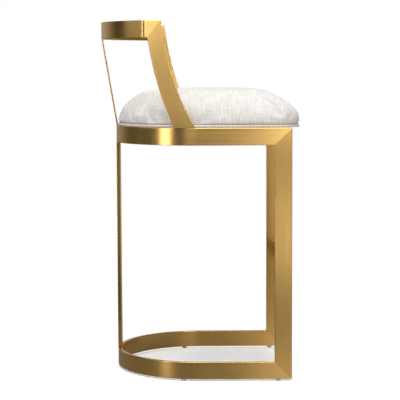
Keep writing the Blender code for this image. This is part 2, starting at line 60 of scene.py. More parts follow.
# %% [markdown]
# ## Sizes that come from the frame
# A new piece has to land exactly where its CAD node is, so its sizes are read from the nodes'
# boxes. The hoops are a half circle with straight sides. Their rear end and their width give the
# circle's radius and its centre, and the rear leg gives the thickness of the flat bar.

# %% Read the sizes
def node_box(node):
    """A node's lowest and highest corners as arrays."""
    low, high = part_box(node)
    return np.array(low), np.array(high)


base_low, base_high = node_box("base_hoop")
seat_low, seat_high = node_box("seat_hoop")
band_low, band_high = node_box("back_band")
leg_low, leg_high = node_box("rear_leg")
strut_low, strut_high = node_box("back_strut")
cover_low, cover_high = node_box("seat_cover")
board_low, board_high = node_box("seat_board")
dust_low, dust_high = node_box("dust_cover")

RADIUS = seat_high[1]
BAR_WIDTH = seat_high[2] - seat_low[2]
BAR_THICKNESS = leg_high[0] - leg_low[0]
MEAN_RADIUS = RADIUS - BAR_THICKNESS / 2
CENTRE_X = seat_low[0] + RADIUS
FRONT_X = node_box("front_leg_left")[1][0]
print(f"bar {BAR_WIDTH * 1000:.1f} x {BAR_THICKNESS * 1000:.1f} mm, hoop radius {RADIUS * 1000:.1f} mm")

# %% [markdown]
# ## Camera
# The camera stands almost four metres away, a little higher than the seat, and looks at the
# stool's right side, slightly down. A long lens keeps the perspective gentle. Its turn is built
# from three small angles: pan towards the front, tilt down, and a trace of roll.

# %% Camera
CAMERA_PLACE = Vector((-0.01263, -3.90492, 0.8263))
CAMERA_PAN, CAMERA_TILT, CAMERA_ROLL = 0.00393, 0.09501, 0.00401
CAMERA_LENS, CAMERA_SENSOR = 128.94, 36.0


def make_camera():
    """A camera whose own axes are the turned right, up and backward directions."""
    turn = (Matrix.Rotation(-CAMERA_PAN, 4, "Z") @ Matrix.Rotation(math.pi / 2 - CAMERA_TILT, 4, "X")
            @ Matrix.Rotation(-CAMERA_ROLL, 4, "Z"))
    data = bpy.data.cameras.new("camera")
    data.lens = CAMERA_LENS
    data.sensor_width = CAMERA_SENSOR
    camera = bpy.data.objects.new("camera", data)
    camera.matrix_world = Matrix.Translation(CAMERA_PLACE) @ turn
    SCENE.collection.objects.link(camera)
    SCENE.camera = camera


make_camera()
print("camera at", tuple(CAMERA_PLACE))

# %% [markdown]
# ## From a grid of points to a mesh
# Every new piece is a surface worked out on a grid: rows go along the piece, columns go around
# it. One helper turns such a grid into a mesh. The rows' ends are closed either by a pole, a fan
# of triangles round one point, or by a pinch, where each point of the ring is joined to the point
# opposite, as suits the end of a flat bar.

# %% Grid helper
def pinch_faces(ring):
    """Faces that close a ring by joining each point to the one opposite."""
    half = len(ring) // 2
    near, far = ring[:half], ring[::-1][:half]
    return np.stack([near[:-1], near[1:], far[1:], far[:-1]], axis=1)


def mesh_from_grid(name, grid, ends="pinch", loop=False):
    """A closed mesh of a (rows, columns, 3) grid whose columns go round each ring.

    Face (i, j) joins points (i, j), (i, j + 1), (i + 1, j + 1) and (i + 1, j), and the last
    column joins the first. With loop, the last row joins the first as well.
    """
    rows, columns = grid.shape[:2]
    numbers = np.arange(rows * columns).reshape(rows, columns)
    points = grid.reshape(-1, 3)
    following = np.roll(numbers, -1, axis=0) if loop else numbers[1:]
    first = numbers if loop else numbers[:-1]
    beside = np.roll(first, -1, axis=1)
    beyond = np.roll(following, -1, axis=1)
    faces = np.stack([first, beside, beyond, following], axis=-1).reshape(-1, 4).tolist()
    if ends == "pinch" and not loop:
        faces += pinch_faces(numbers[0])[:, ::-1].tolist() + pinch_faces(numbers[-1]).tolist()
    if ends == "pole" and not loop:
        low_tip, high_tip = len(points), len(points) + 1
        points = np.concatenate([points, grid[:1].mean(axis=1), grid[-1:].mean(axis=1)])
        ring_low, ring_high = numbers[0], numbers[-1]
        low_fan = np.stack([np.roll(ring_low, -1), ring_low, np.full(columns, low_tip)], axis=1)
        high_fan = np.stack([ring_high, np.roll(ring_high, -1), np.full(columns, high_tip)], axis=1)
        faces += low_fan.tolist() + high_fan.tolist()
    mesh = bpy.data.meshes.new(name)
    mesh.from_pydata(points.tolist(), [], faces)
    mesh.update()
    return mesh


def shade(mesh, sharp_angle):
    """Smooth shading, except over edges that turn by more than an angle in degrees."""
    mesh.shade_smooth()
    mesh.set_sharp_from_angle(angle=math.radians(sharp_angle))


def add_piece(name, mesh, sharp_angle=38):
    """A shaded mesh as an object of the scene."""
    shade(mesh, sharp_angle)
    piece = bpy.data.objects.new(name, mesh)
    SCENE.collection.objects.link(piece)
    return piece


def belongs(piece, slot, *nodes):
    """The piece rides on the stool's one body and stands for CAD nodes; the slot is not used."""
    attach(piece, "root")
    if nodes:
        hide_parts(*nodes)
    return piece


def set_grid_uv(mesh, across, along):
    """A UV map in metres: U runs round the section and V runs along the piece.

    The grid's faces come first in the mesh, four corners each, so whole arrays fill them. The
    corners of the end faces that follow take the sizes of their own points.
    """
    rows, columns = along.shape[0], across.shape[0] - 1
    i, j = np.meshgrid(np.arange(rows - 1), np.arange(columns), indexing="ij")
    corner_rows = np.stack([i, i, i + 1, i + 1], axis=-1)
    corner_columns = np.stack([j, j + 1, j + 1, j], axis=-1)
    sides = np.stack([across[corner_columns], along[corner_rows, corner_columns % columns]], axis=-1)
    corner_points = np.empty(len(mesh.loops), int)
    mesh.loops.foreach_get("vertex_index", corner_points)
    ends = corner_points[sides.size // 2:]
    end_uv = np.stack([across[ends % columns], along.reshape(-1)[ends]], axis=-1)
    layer = mesh.uv_layers.new(name="grain")
    layer.data.foreach_set("uv", np.concatenate([sides.reshape(-1), end_uv.reshape(-1)]))


# %% [markdown]
# ## The flat bar
# The whole frame is one kind of stock: flat bar of 45 by 10 mm with its long edges eased. Its
# section is a rounded rectangle, carried along a spine. A spine gives, at each length along the
# bar, the centre point, the direction across the bar's width, the direction out of its wide face
# and half the width. Where two bars meet, the section isn't square to the bar but lies in the
# mitre plane. So every lengthwise line of the bar is followed to the exact length at which it
# crosses that plane, found by halving an interval for all lines at once.

# %% Section and sweep
EDGE_ROUND = 0.0014
CORNER_STEPS, FLAT_STEPS = 5, 8
FLAT_SHARE, EDGE_SHARE = 0.97, 0.8
MITRE_ROWS = 6
HALVINGS = 30


def bar_section(thickness, radius):
    """One rounded rectangle as three arrays: share of the flat width, rounding and thickness.

    Half of it runs from the middle of one narrow edge over the wide face to the other, and the
    second half is its mirror image. A point lies at share x (half width - radius) + rounding
    across the bar. Extra points beside each rounding keep the flats flat when shaded smooth.
    """
    turn = np.linspace(0, math.pi / 2, CORNER_STEPS + 1)
    wide = np.linspace(FLAT_SHARE, -FLAT_SHARE, FLAT_STEPS)
    edge = thickness / 2 - radius
    share = np.concatenate([[1], np.ones(len(turn)), wide, -np.ones(len(turn)), [-1]])
    rounding = np.concatenate([[radius], radius * np.cos(turn), np.zeros(len(wide)),
                               -radius * np.sin(turn), [-radius]])
    beside = [edge * EDGE_SHARE]
    outward = np.concatenate([beside, edge + radius * np.sin(turn), np.full(len(wide), thickness / 2),
                              edge + radius * np.cos(turn), beside])
    mirrored = np.concatenate([outward, -outward[::-1]])
    return np.concatenate([share, share[::-1]]), np.concatenate([rounding, rounding[::-1]]), mirrored


def bar_surface(spine, thickness=None, radius=EDGE_ROUND):
    """A function from lengths along the bar, one for each column, to points on its surface."""
    thickness = thickness or BAR_THICKNESS
    share, rounding, outward = bar_section(thickness, radius)

    def surface(length):
        centre, across, out, half = spine(length)
        offset = share * (half - radius) + rounding
        return centre + across * offset[..., None] + out * outward[:, None]

    surface.columns = len(share)
    return surface


def crossing(surface, plane, low, high):
    """The length at which each lengthwise line of a bar crosses a plane, by halving."""
    point, normal = (np.array(part, float) for part in plane)
    low, high = np.full(surface.columns, low), np.full(surface.columns, high)
    start_side = (surface(low) - point) @ normal > 0
    for _ in range(HALVINGS):
        middle = (low + high) / 2
        same = ((surface(middle) - point) @ normal > 0) == start_side
        low, high = np.where(same, middle, low), np.where(same, high, middle)
    return (low + high) / 2


def bar_lengths(start, end, inner):
    """Rows of lengths: closing rows at each end, straight rows of given lengths between."""
    share = np.arange(MITRE_ROWS)[:, None] / MITRE_ROWS
    first = start + (inner[0] - start) * share
    last = end + (inner[-1] - end) * share[::-1]
    return np.concatenate([first, np.repeat(inner[:, None], len(start), axis=1), last])


def make_bar(name, surface, lengths):
    """The bar's mesh, with a UV map in metres and a mask that is 1 on its rounded edges."""
    grid = surface(lengths)
    mesh = mesh_from_grid(name, grid)
    ring = grid[len(grid) // 2]
    steps = np.linalg.norm(np.roll(ring, -1, axis=0) - ring, axis=1)
    set_grid_uv(mesh, np.concatenate([[0], np.cumsum(steps)]), lengths)
    _, rounding, _ = bar_section(1, 1)
    on_edge = (np.abs(rounding) > 1e-6).astype(np.float32)
    mask = mesh.attributes.new("edge", "FLOAT", "POINT")
    mask.data.foreach_set("value", np.tile(on_edge, len(grid)))
    return add_piece(name, mesh)


print("columns round a bar:", len(bar_section(BAR_THICKNESS, EDGE_ROUND)[0]))

# %% [markdown]
# ## Hoops
# The spine of a hoop runs along one straight side, round the half circle and back along the
# other side. Its rows lie close together on the round part, because the bright reflections slide
# along it. Both ends are cut in the 45 degree plane in which they meet the front legs.

# %% Hoops
MITRE_GAP = 0.0001
LEG_REAR_X = FRONT_X - BAR_WIDTH
SIDE_RUN = FRONT_X - CENTRE_X
ARC_LENGTH = math.pi * MEAN_RADIUS
OVERRUN = 0.02
END_MARGIN = 0.004
STRAIGHT_SPACING, ARC_ROWS = 0.012, 121


def stack(*parts):
    """Coordinates as the last axis of one array."""
    return np.stack(np.broadcast_arrays(*parts), axis=-1)


def hoop_spine(middle_z):
    """Straight side, half circle, straight side; length 0 is where the first side starts bending."""
    def spine(length):
        turn = np.clip(length / MEAN_RADIUS, 0, math.pi)
        before, after = np.minimum(length, 0), np.maximum(length - ARC_LENGTH, 0)
        x = CENTRE_X - MEAN_RADIUS * np.sin(turn) - before + after
        y = MEAN_RADIUS * np.cos(turn)
        centre = stack(x, y, middle_z)
        return centre, np.array([0.0, 0, 1]), stack(-np.sin(turn), np.cos(turn), 0), BAR_WIDTH / 2
    return spine


def mitre_plane(low_corner, high_corner, gap_side):
    """The plane through two corners of the side view, set back by half the hair gap."""
    (x0, z0), (x1, z1) = low_corner, high_corner
    normal = np.array([z1 - z0, 0, x0 - x1])
    normal = normal / np.linalg.norm(normal)
    return np.array([x0, 0, z0]) - normal * gap_side * MITRE_GAP / 2, normal


BASE_MITRE = ((FRONT_X, base_low[2]), (LEG_REAR_X, base_high[2]))
SEAT_MITRE = ((LEG_REAR_X, seat_low[2]), (FRONT_X, seat_high[2]))


def make_hoop(name, low, high, corners):
    """A hoop from its mitre on one side to its mitre on the other."""
    surface = bar_surface(hoop_spine((low + high) / 2))
    plane = mitre_plane(*corners, gap_side=1)
    reach = SIDE_RUN + OVERRUN
    start = crossing(surface, plane, -reach, 0)
    end = crossing(surface, plane, ARC_LENGTH, ARC_LENGTH + reach)
    straight = np.arange(start.max() + END_MARGIN, 0, STRAIGHT_SPACING)
    arc = np.linspace(0, ARC_LENGTH, ARC_ROWS)
    inner = np.concatenate([straight, arc, ARC_LENGTH - straight[::-1]])
    return make_bar(name, surface, bar_lengths(start, end, inner))


base_hoop = make_hoop("brass_base_hoop", base_low[2], base_high[2], BASE_MITRE)
seat_hoop = make_hoop("brass_seat_hoop", seat_low[2], seat_high[2], SEAT_MITRE)
belongs(base_hoop, "frame_metal", "base_hoop")
belongs(seat_hoop, "frame_metal", "seat_hoop")
print("hoop faces:", len(base_hoop.data.polygons))

# %% [markdown]
# ## Legs, footrest and rail
# These are straight bars. A straight spine needs only its start, its direction, the direction
# across its width and the direction out of its wide face. The front legs end in the mitre
# planes, and the others end square against the bar they are welded to.

# %% Straight bars
STRAIGHT_ROWS = 16
UP, ALONG_Y = (0, 0, 1), (0, 1, 0)


def straight_spine(start, along, across, out, half):
    """A spine that leaves its start in one direction."""
    start, along = np.array(start, float), np.array(along, float)
    across, out = np.array(across, float), np.array(out, float)

    def spine(length):
        return start + along * np.asarray(length)[..., None], across, out, half
    return spine


def straight_bar(name, spine, start_plane, end_plane, reach, thickness=None, radius=EDGE_ROUND):
    """A straight bar between two planes, each given by a point and a normal."""
    surface = bar_surface(spine, thickness, radius)
    start = crossing(surface, start_plane, -OVERRUN, reach / 2)
    end = crossing(surface, end_plane, reach / 2, reach + OVERRUN)
    inner = np.linspace(start.max() + END_MARGIN, end.min() - END_MARGIN, STRAIGHT_ROWS)
    return make_bar(name, surface, bar_lengths(start, end, inner))


for side_word, side in (("left", 1), ("right", -1)):
    spine = straight_spine(((FRONT_X + LEG_REAR_X) / 2, side * MEAN_RADIUS, base_low[2]), UP,
                           (-side, 0, 0), (0, side, 0), BAR_WIDTH / 2)
    leg = straight_bar("brass_front_leg_" + side_word, spine, mitre_plane(*BASE_MITRE, gap_side=-1),
                       mitre_plane(*SEAT_MITRE, gap_side=-1), seat_high[2] - base_low[2])
    belongs(leg, "frame_metal", "front_leg_" + side_word)

rear_spine = straight_spine((leg_low[0] + BAR_THICKNESS / 2, 0, leg_low[2]), UP,
                            ALONG_Y, (-1, 0, 0), BAR_WIDTH / 2)
rear_leg = straight_bar("brass_rear_leg", rear_spine, (leg_low, UP), (leg_high, UP),
                        leg_high[2] - leg_low[2])
belongs(rear_leg, "frame_metal", "rear_leg")

for node in ("footrest_bar", "front_seat_rail"):
    low, high = node_box(node)
    spine = straight_spine((high[0] - BAR_THICKNESS / 2, low[1], (low[2] + high[2]) / 2), ALONG_Y,
                           UP, (1, 0, 0), BAR_WIDTH / 2)
    bar = straight_bar("brass_" + node, spine, (low, ALONG_Y), (high, ALONG_Y), high[1] - low[1])
    belongs(bar, "frame_metal", node)
print("straight bars made")

# %% [markdown]
# ## Arms
# Each arm is cut from plate, so its front and rear edges are two curves of their own, and the
# bar widens a little towards its foot. Both edges are cubic curves given by their end points and
# by how far they lean there. The spine is the middle between them, and its width is theirs.

# %% Arms
ARM_FRONT_FOOT_SETBACK, ARM_FRONT_HEAD_SETBACK = 0.0100, 0.0985
ARM_REAR_FOOT_SETBACK, ARM_REAR_HEAD_SETBACK = 0.0660, 0.1330
ARM_FRONT_LEANS = math.radians(31), math.radians(8)
ARM_REAR_LEANS = math.radians(24), math.radians(8.5)
ARM_HANDLE_SHARE = 0.36
ARM_FOOT_SEARCH, ARM_HEAD_SEARCH = 0.06, 0.08
ARM_END_MARGIN, ARM_ROWS = 0.003, 40
RAIL_TOP, BAND_TOP, BAND_BOTTOM = seat_high[2], band_high[2], band_low[2]


def leaning_curve(foot, head, leans):
    """A function from 0..1 to (x, z) on a cubic between two ends that lean back, straight beyond."""
    foot, head = np.array(foot), np.array(head)
    rises = [np.array([-math.sin(lean), math.cos(lean)]) for lean in leans]
    reach = np.linalg.norm(head - foot) * ARM_HANDLE_SHARE
    handle_a, handle_b = foot + rises[0] * reach, head - rises[1] * reach

    def curve(t):
        inside = np.clip(t, 0, 1)[..., None]
        s = 1 - inside
        point = (foot * s ** 3 + handle_a * 3 * s ** 2 * inside + handle_b * 3 * s * inside ** 2
                 + head * inside ** 3)
        below, above = np.minimum(t, 0)[..., None], np.maximum(t - 1, 0)[..., None]
        return point + rises[0] * reach * 3 * below + rises[1] * reach * 3 * above
    return curve


arm_front = leaning_curve((CENTRE_X - ARM_FRONT_FOOT_SETBACK, RAIL_TOP),
                          (CENTRE_X - ARM_FRONT_HEAD_SETBACK, BAND_TOP), ARM_FRONT_LEANS)
arm_rear = leaning_curve((CENTRE_X - ARM_REAR_FOOT_SETBACK, RAIL_TOP),
                         (CENTRE_X - ARM_REAR_HEAD_SETBACK, BAND_BOTTOM), ARM_REAR_LEANS)
ARM_MITRE = (tuple(arm_rear(np.array(1.0))), tuple(arm_front(np.array(1.0))))
ARM_SPAN = BAND_TOP - RAIL_TOP


def arm_spine(side):
    """Middle of the two edges; lengths are taken as shares of the arm's height."""
    def spine(length):
        front, rear = arm_front(length / ARM_SPAN), arm_rear(length / ARM_SPAN)
        middle, width = (front + rear) / 2, front - rear
        size = np.linalg.norm(width, axis=-1, keepdims=True)
        direction = -side * width / size
        across = stack(direction[..., 0], 0, direction[..., 1])
        centre = stack(middle[..., 0], side * MEAN_RADIUS, middle[..., 1])
        return centre, across, np.array([0.0, side, 0]), size[..., 0] / 2
    return spine


def make_arm(name, side):
    """An arm from the level plane of the rail's top to its mitre with the band."""
    surface = bar_surface(arm_spine(side))
    start = crossing(surface, ((0, 0, RAIL_TOP + MITRE_GAP), UP), -ARM_FOOT_SEARCH, ARM_SPAN / 2)
    end = crossing(surface, mitre_plane(*ARM_MITRE, gap_side=-1), ARM_SPAN / 2,
                   ARM_SPAN + ARM_HEAD_SEARCH)
    inner = np.linspace(start.max() + ARM_END_MARGIN, end.min() - ARM_END_MARGIN, ARM_ROWS)
    return make_bar(name, surface, bar_lengths(start, end, inner))


for side_word, side in (("left", 1), ("right", -1)):
    belongs(make_arm("brass_arm_" + side_word, side), "frame_metal", "arm_" + side_word)
arm_foot = arm_front(np.array(0.0)) - arm_rear(np.array(0.0))
print(f"arm width at the foot: {np.linalg.norm(arm_foot) * 1000:.1f} mm")

# %% [markdown]
# ## Back band and strut
# The band's ends are straight and lie in line with the arms. Between them it is bent to one
# large arc, found from the width between the ends and the depth to the rearmost point. A thin
# strip of 25 by 3 mm holds the band up at the rear and leans back with it.

# %% Band
BAND_BEND_SETBACK = 0.142
BAND_BEND_EASE, BAND_EASE_STEPS = 0.003, 9
BAND_END_SEARCH = 0.09
BAND_END_MARGIN, BAND_ROWS = 0.002, 150


def band_spine():
    """End, arc, end, and the arc's length; length 0 is where the first bend starts."""
    bend_x = CENTRE_X - BAND_BEND_SETBACK
    depth = bend_x - (band_low[0] + BAR_THICKNESS / 2)
    radius = (MEAN_RADIUS ** 2 + depth ** 2) / (2 * depth)
    arc_x = bend_x - depth + radius
    half_turn = math.atan2(MEAN_RADIUS, arc_x - bend_x)

    def spine(length):
        turn = half_turn - np.clip(length / radius, 0, 2 * half_turn)
        beyond = np.minimum(length, 0), np.maximum(length - 2 * half_turn * radius, 0)
        x = arc_x - radius * np.cos(turn) - beyond[0] + beyond[1]
        y = radius * np.sin(turn)
        on_arc = (length > 0) & (length < 2 * half_turn * radius)
        out = np.where(on_arc[..., None], stack(-np.cos(turn), np.sin(turn), 0),
                       stack(0, np.sign(turn), 0))
        return stack(x, y, (BAND_TOP + BAND_BOTTOM) / 2), np.array([0.0, 0, 1]), out, BAR_WIDTH / 2
    return spine, 2 * half_turn * radius


def eased_spine(spine, bend):
    """The same spine with its two sharp bends rounded: each point is the mean of its neighbours."""
    offsets = np.linspace(-bend, bend, BAND_EASE_STEPS)

    def eased(length):
        centres, outs = zip(*[(part[0], part[2]) for part in (spine(length + o) for o in offsets)])
        out = np.mean(outs, axis=0)
        out = out / np.linalg.norm(out, axis=-1, keepdims=True)
        return np.mean(centres, axis=0), np.array([0.0, 0, 1]), out, BAR_WIDTH / 2
    return eased


def make_band():
    """The band between its two mitres with the arms, which lie in one plane."""
    spine, total = band_spine()
    surface = bar_surface(eased_spine(spine, BAND_BEND_EASE))
    plane = mitre_plane(*ARM_MITRE, gap_side=1)
    start = crossing(surface, plane, -BAND_END_SEARCH, OVERRUN)
    end = crossing(surface, plane, total - OVERRUN, total + BAND_END_SEARCH)
    inner = np.linspace(start.max() + BAND_END_MARGIN, end.min() - BAND_END_MARGIN, BAND_ROWS)
    return make_bar("brass_back_band", surface, bar_lengths(start, end, inner))


belongs(make_band(), "frame_metal", "back_band")

# %% Strut
STRUT_WIDTH, STRUT_THICKNESS = strut_high[1] - strut_low[1], 0.003
STRUT_EDGE_ROUND = 0.0006
strut_run = strut_high[0] - strut_low[0] - STRUT_THICKNESS
strut_rise = strut_high[2] - strut_low[2]
strut_along = np.array([-strut_run, 0, strut_rise]) / math.hypot(strut_run, strut_rise)
strut_out = np.array([-strut_along[2], 0, strut_along[0]])
strut_foot = (strut_high[0] - STRUT_THICKNESS / 2, 0, strut_low[2])
strut_spine = straight_spine(strut_foot, strut_along, ALONG_Y, strut_out, STRUT_WIDTH / 2)
strut = straight_bar("brass_back_strut", strut_spine, (strut_low, UP), (strut_high, UP),
                     strut_rise, STRUT_THICKNESS, STRUT_EDGE_ROUND)
belongs(strut, "frame_metal", "back_strut")
print(f"strut leans back by {math.degrees(math.atan2(strut_run, strut_rise)):.1f} degrees")

# %% [markdown]
# ## The seat's outline
# Seen from above, the seat is a half ellipse at the rear, straight at the sides and rounded at
# the two front corners. One function gives that outline at any distance in from its widest line,
# always with the same number of points, so that outlines can be stacked and skinned.

# %% Outline
SEAT_HALF_WIDTH = cover_high[1]
SEAT_REACH_FRONT = cover_high[0] - CENTRE_X
SEAT_REACH_REAR = CENTRE_X - cover_low[0]
SEAT_MIDDLE_X = (cover_high[0] + cover_low[0]) / 2
SEAT_CORNER, SEAT_CORNER_LEAST = 0.045, 0.01
OUTLINE_STEPS = {"rear": 120, "side": 30, "corner": 18, "front": 54}


def seat_outline(inset=0.0):
    """(points, 2) along the outline, anticlockwise from the left end of the rear half ellipse."""
    half, rear, front = SEAT_HALF_WIDTH - inset, SEAT_REACH_REAR - inset, SEAT_REACH_FRONT - inset
    corner = max(SEAT_CORNER - inset, SEAT_CORNER_LEAST)
    rear_turn = np.linspace(0, math.pi, OUTLINE_STEPS["rear"], endpoint=False)
    along_side = np.linspace(0, front - corner, OUTLINE_STEPS["side"], endpoint=False)
    corner_turn = np.linspace(0, math.pi / 2, OUTLINE_STEPS["corner"], endpoint=False)
    along_front = np.linspace(-(half - corner), half - corner, OUTLINE_STEPS["front"], endpoint=False)
    x = np.concatenate([-rear * np.sin(rear_turn), along_side,
                        front - corner + corner * np.sin(corner_turn), np.full(len(along_front), front),
                        front - corner + corner * np.cos(corner_turn), (front - corner) - along_side])
    y = np.concatenate([half * np.cos(rear_turn), np.full(len(along_side), -half),
                        -(half - corner) - corner * np.cos(corner_turn), along_front,
                        half - corner + corner * np.sin(corner_turn), np.full(len(along_side), half)])
    return np.stack([CENTRE_X + x, y], axis=1)


def outline_ring(inset, share, height):
    """An outline at a height, drawn in towards the seat's middle by a share of its size."""
    points = seat_outline(inset)
    x = SEAT_MIDDLE_X + (points[:, 0] - SEAT_MIDDLE_X) * share
    return stack(x, points[:, 1] * share, height)


print("outline points:", len(seat_outline()))

# %% [markdown]
# ## The cushion
# On the real seat a woven cover is pulled over foam, so it is crowned in the middle, fullest
# near its lower edge and rolls in to the piping. A height formula gives the crown. The puffed,
# slightly uneven look of real upholstery comes from a short cloth simulation: the shape starts
# a little too small, its lower edge is held, and air pressure blows it up for twenty frames.

# %% Cushion formula
WIDEST_RISE = 0.026
CROWN_POWER = 3.5
SKIRT_INSET = 0.0073
SKIRT_HEIGHT = 0.0073
SKIRT_FOOT = cover_low[2]
SEAT_WIDEST = RAIL_TOP + WIDEST_RISE
SEAT_CROWN = cover_high[2]
ROLL_RINGS = 9
RIM_SHARES = 1 - np.linspace(0.02, 0.5, 16) ** 2
DOME_SHARES = np.linspace(0.7, 0.06, 14)


def cushion_grid(smaller=0.0, lower=0.0):
    """Rings of the cushion: up the skirt, out round the lower roll and over the dome.

    The lower roll is a quarter ellipse. The dome's height at a share s of the outline is
    widest + rise x sqrt(1 - s ** power), so it is steep at the rim and nearly flat in the middle.
    """
    roll_turn = np.linspace(math.pi / 2, 0, ROLL_RINGS)
    roll_drop = SEAT_WIDEST - SKIRT_FOOT - SKIRT_HEIGHT
    rings = [outline_ring(SKIRT_INSET + smaller, 1, SKIRT_FOOT)]
    rings += [outline_ring(smaller + SKIRT_INSET * (1 - math.cos(turn)), 1,
                           SEAT_WIDEST - roll_drop * math.sin(turn)) for turn in roll_turn]
    rise = SEAT_CROWN - SEAT_WIDEST - lower
    rings += [outline_ring(smaller, share, SEAT_WIDEST + rise * math.sqrt(1 - share ** CROWN_POWER))
              for share in np.concatenate([RIM_SHARES, DOME_SHARES])]
    return np.stack(rings)


print("cushion rings:", len(cushion_grid()))

# %% Cushion simulation
VOXEL = 0.0052
PUFF_FRAMES = 20
PUFF_PRESSURE = 4.0
PUFF_LIMIT = 0.012
START_SMALLER, START_LOWER = 0.004, 0.008
CLOTH_SETTINGS = {"quality": 6, "mass": 0.25, "tension_stiffness": 12, "compression_stiffness": 12,
                  "shear_stiffness": 6, "bending_stiffness": 0.6, "vertex_group_mass": "held",
                  "use_pressure": True, "uniform_pressure_force": PUFF_PRESSURE}


def points_of(mesh):
    """All points of a mesh as an (n, 3) array."""
    points = np.empty(len(mesh.vertices) * 3)
    mesh.vertices.foreach_get("co", points)
    return points.reshape(-1, 3)


def move_points(mesh, points):
    """Give a mesh's points new places."""
    mesh.vertices.foreach_set("co", points.ravel())
    mesh.update()


def evaluated_copy(piece):
    """A new mesh: the piece as its modifiers make it."""
    graph = bpy.context.evaluated_depsgraph_get()
    return bpy.data.meshes.new_from_object(piece.evaluated_get(graph))


def replace_mesh(piece, mesh):
    """Give the piece another mesh, and take its modifiers and its old mesh away."""
    piece.modifiers.clear()
    old = piece.data
    piece.data = mesh
    bpy.data.meshes.remove(old)


def remeshed_start(name):
    """The starting shape as an even net of small squares."""
    piece = add_piece(name, mesh_from_grid(name, cushion_grid(START_SMALLER, START_LOWER), "pole"))
    remesh = piece.modifiers.new("even_net", "REMESH")
    remesh.mode = "VOXEL"
    remesh.voxel_size = VOXEL
    replace_mesh(piece, evaluated_copy(piece))
    return piece


def puff(piece):
    """Blow the piece up with cloth pressure, its lower edge held, and limit each point's way."""
    start = points_of(piece.data)
    held = piece.vertex_groups.new(name="held")
    low = np.flatnonzero(start[:, 2] < SKIRT_FOOT + SKIRT_HEIGHT)
    held.add(low.tolist(), 1.0, "REPLACE")
    cloth = piece.modifiers.new("puff", "CLOTH")
    for key, value in CLOTH_SETTINGS.items():
        setattr(cloth.settings, key, value)
    cloth.settings.effector_weights.gravity = 0
    cloth.point_cache.frame_end = PUFF_FRAMES
    for moment in range(1, PUFF_FRAMES + 1):
        SCENE.frame_set(moment)
    puffed = evaluated_copy(piece)
    way = points_of(puffed) - start
    length = np.linalg.norm(way, axis=1, keepdims=True)
    way *= np.minimum(1, PUFF_LIMIT / np.maximum(length, 1e-9))
    print(f"cloth moved {length.mean() * 1000:.1f} mm on average, {length.max() * 1000:.1f} mm at most")
    move_points(puffed, start + way)
    replace_mesh(piece, puffed)
    SCENE.frame_set(1)


def fit_to_seat(piece):
    """Stretch the dome gently so that its crown and its widest line are where the CAD has them."""
    points = points_of(piece.data)
    above = np.clip((points[:, 2] - SKIRT_FOOT) / (points[:, 2].max() - SKIRT_FOOT), 0, 1)
    points[:, 2] = SKIRT_FOOT + above * (SEAT_CROWN - SKIRT_FOOT)
    low, high = points.min(axis=0), points.max(axis=0)
    wanted_low = np.array([cover_low[0], -SEAT_HALF_WIDTH])
    wanted_high = np.array([cover_high[0], SEAT_HALF_WIDTH])
    share = (points[:, :2] - low[:2]) / (high[:2] - low[:2])
    points[:, :2] = wanted_low + share * (wanted_high - wanted_low)
    move_points(piece.data, points)


cushion = remeshed_start("woven_cushion")
puff(cushion)
fit_to_seat(cushion)
print("cushion points:", len(cushion.data.vertices))

# %% [markdown]
# The cloth is pulled in under the widest line and stapled below the board. After one
# subdivision, each low point that stands out too far is moved straight in, to the quarter
# ellipse of the lower roll. Then the place of the board is cut out of the underside.

# %% Cushion finish
OUTLINE_SPACING = 0.0015
BOARD_PLAY = 0.00015
UNDERSIDE_MARGIN = 0.004
CUSHION_SHARP_ANGLE = 55


def dense(line, spacing):
    """The same closed line with points at an even spacing, and its length."""
    closed = np.concatenate([line, line[:1]])
    steps = np.linalg.norm(np.diff(closed, axis=0), axis=1)
    length = np.concatenate([[0], np.cumsum(steps)])
    places = np.linspace(0, length[-1], int(length[-1] / spacing), endpoint=False)
    return np.stack([np.interp(places, length, column) for column in closed.T], axis=1), length[-1]


def subdivide_once(piece):
    """One smoothing subdivision, applied at once."""
    finer = piece.modifiers.new("finer", "SUBSURF")
    finer.levels = finer.render_levels = 1
    replace_mesh(piece, evaluated_copy(piece))


def roll_inset(height):
    """How far in from the widest line the lower roll is at a height: inset x (1 - cos turn)."""
    drop = SEAT_WIDEST - SKIRT_FOOT - SKIRT_HEIGHT
    sine = np.clip((SEAT_WIDEST - height) / drop, 0, 1)
    return SKIRT_INSET * (1 - np.sqrt(1 - sine ** 2))


def tuck_in(piece):
    """Move low points along the outline's inward normal until they are as far in as the roll."""
    points = points_of(piece.data)
    line, _ = dense(seat_outline(), OUTLINE_SPACING)
    ahead = np.roll(line, -1, axis=0) - np.roll(line, 1, axis=0)
    inward = np.stack([-ahead[:, 1], ahead[:, 0]], axis=1) / np.linalg.norm(ahead, axis=1)[:, None]
    low = np.flatnonzero(points[:, 2] < SEAT_WIDEST)
    apart = points[low, None, :2] - line[None]
    nearest = np.argmin(np.sum(apart ** 2, axis=-1), axis=1)
    inset = np.sum(apart[np.arange(len(low)), nearest] * inward[nearest], axis=1)
    way = np.maximum(roll_inset(points[low, 2]) - inset, 0)
    points[low, :2] += inward[nearest] * way[:, None]
    move_points(piece.data, points)
    print(f"tucked in by {way.max() * 1000:.1f} mm at most")


def cut_away(piece, *cutters):
    """Take the cutters' shapes out of a piece, apply that, and throw the cutters away."""
    for cutter in cutters:
        cut = piece.modifiers.new(cutter.name, "BOOLEAN")
        cut.operation, cut.solver, cut.object = "DIFFERENCE", "EXACT", cutter
    replace_mesh(piece, evaluated_copy(piece))
    for cutter in cutters:
        bpy.data.objects.remove(cutter)


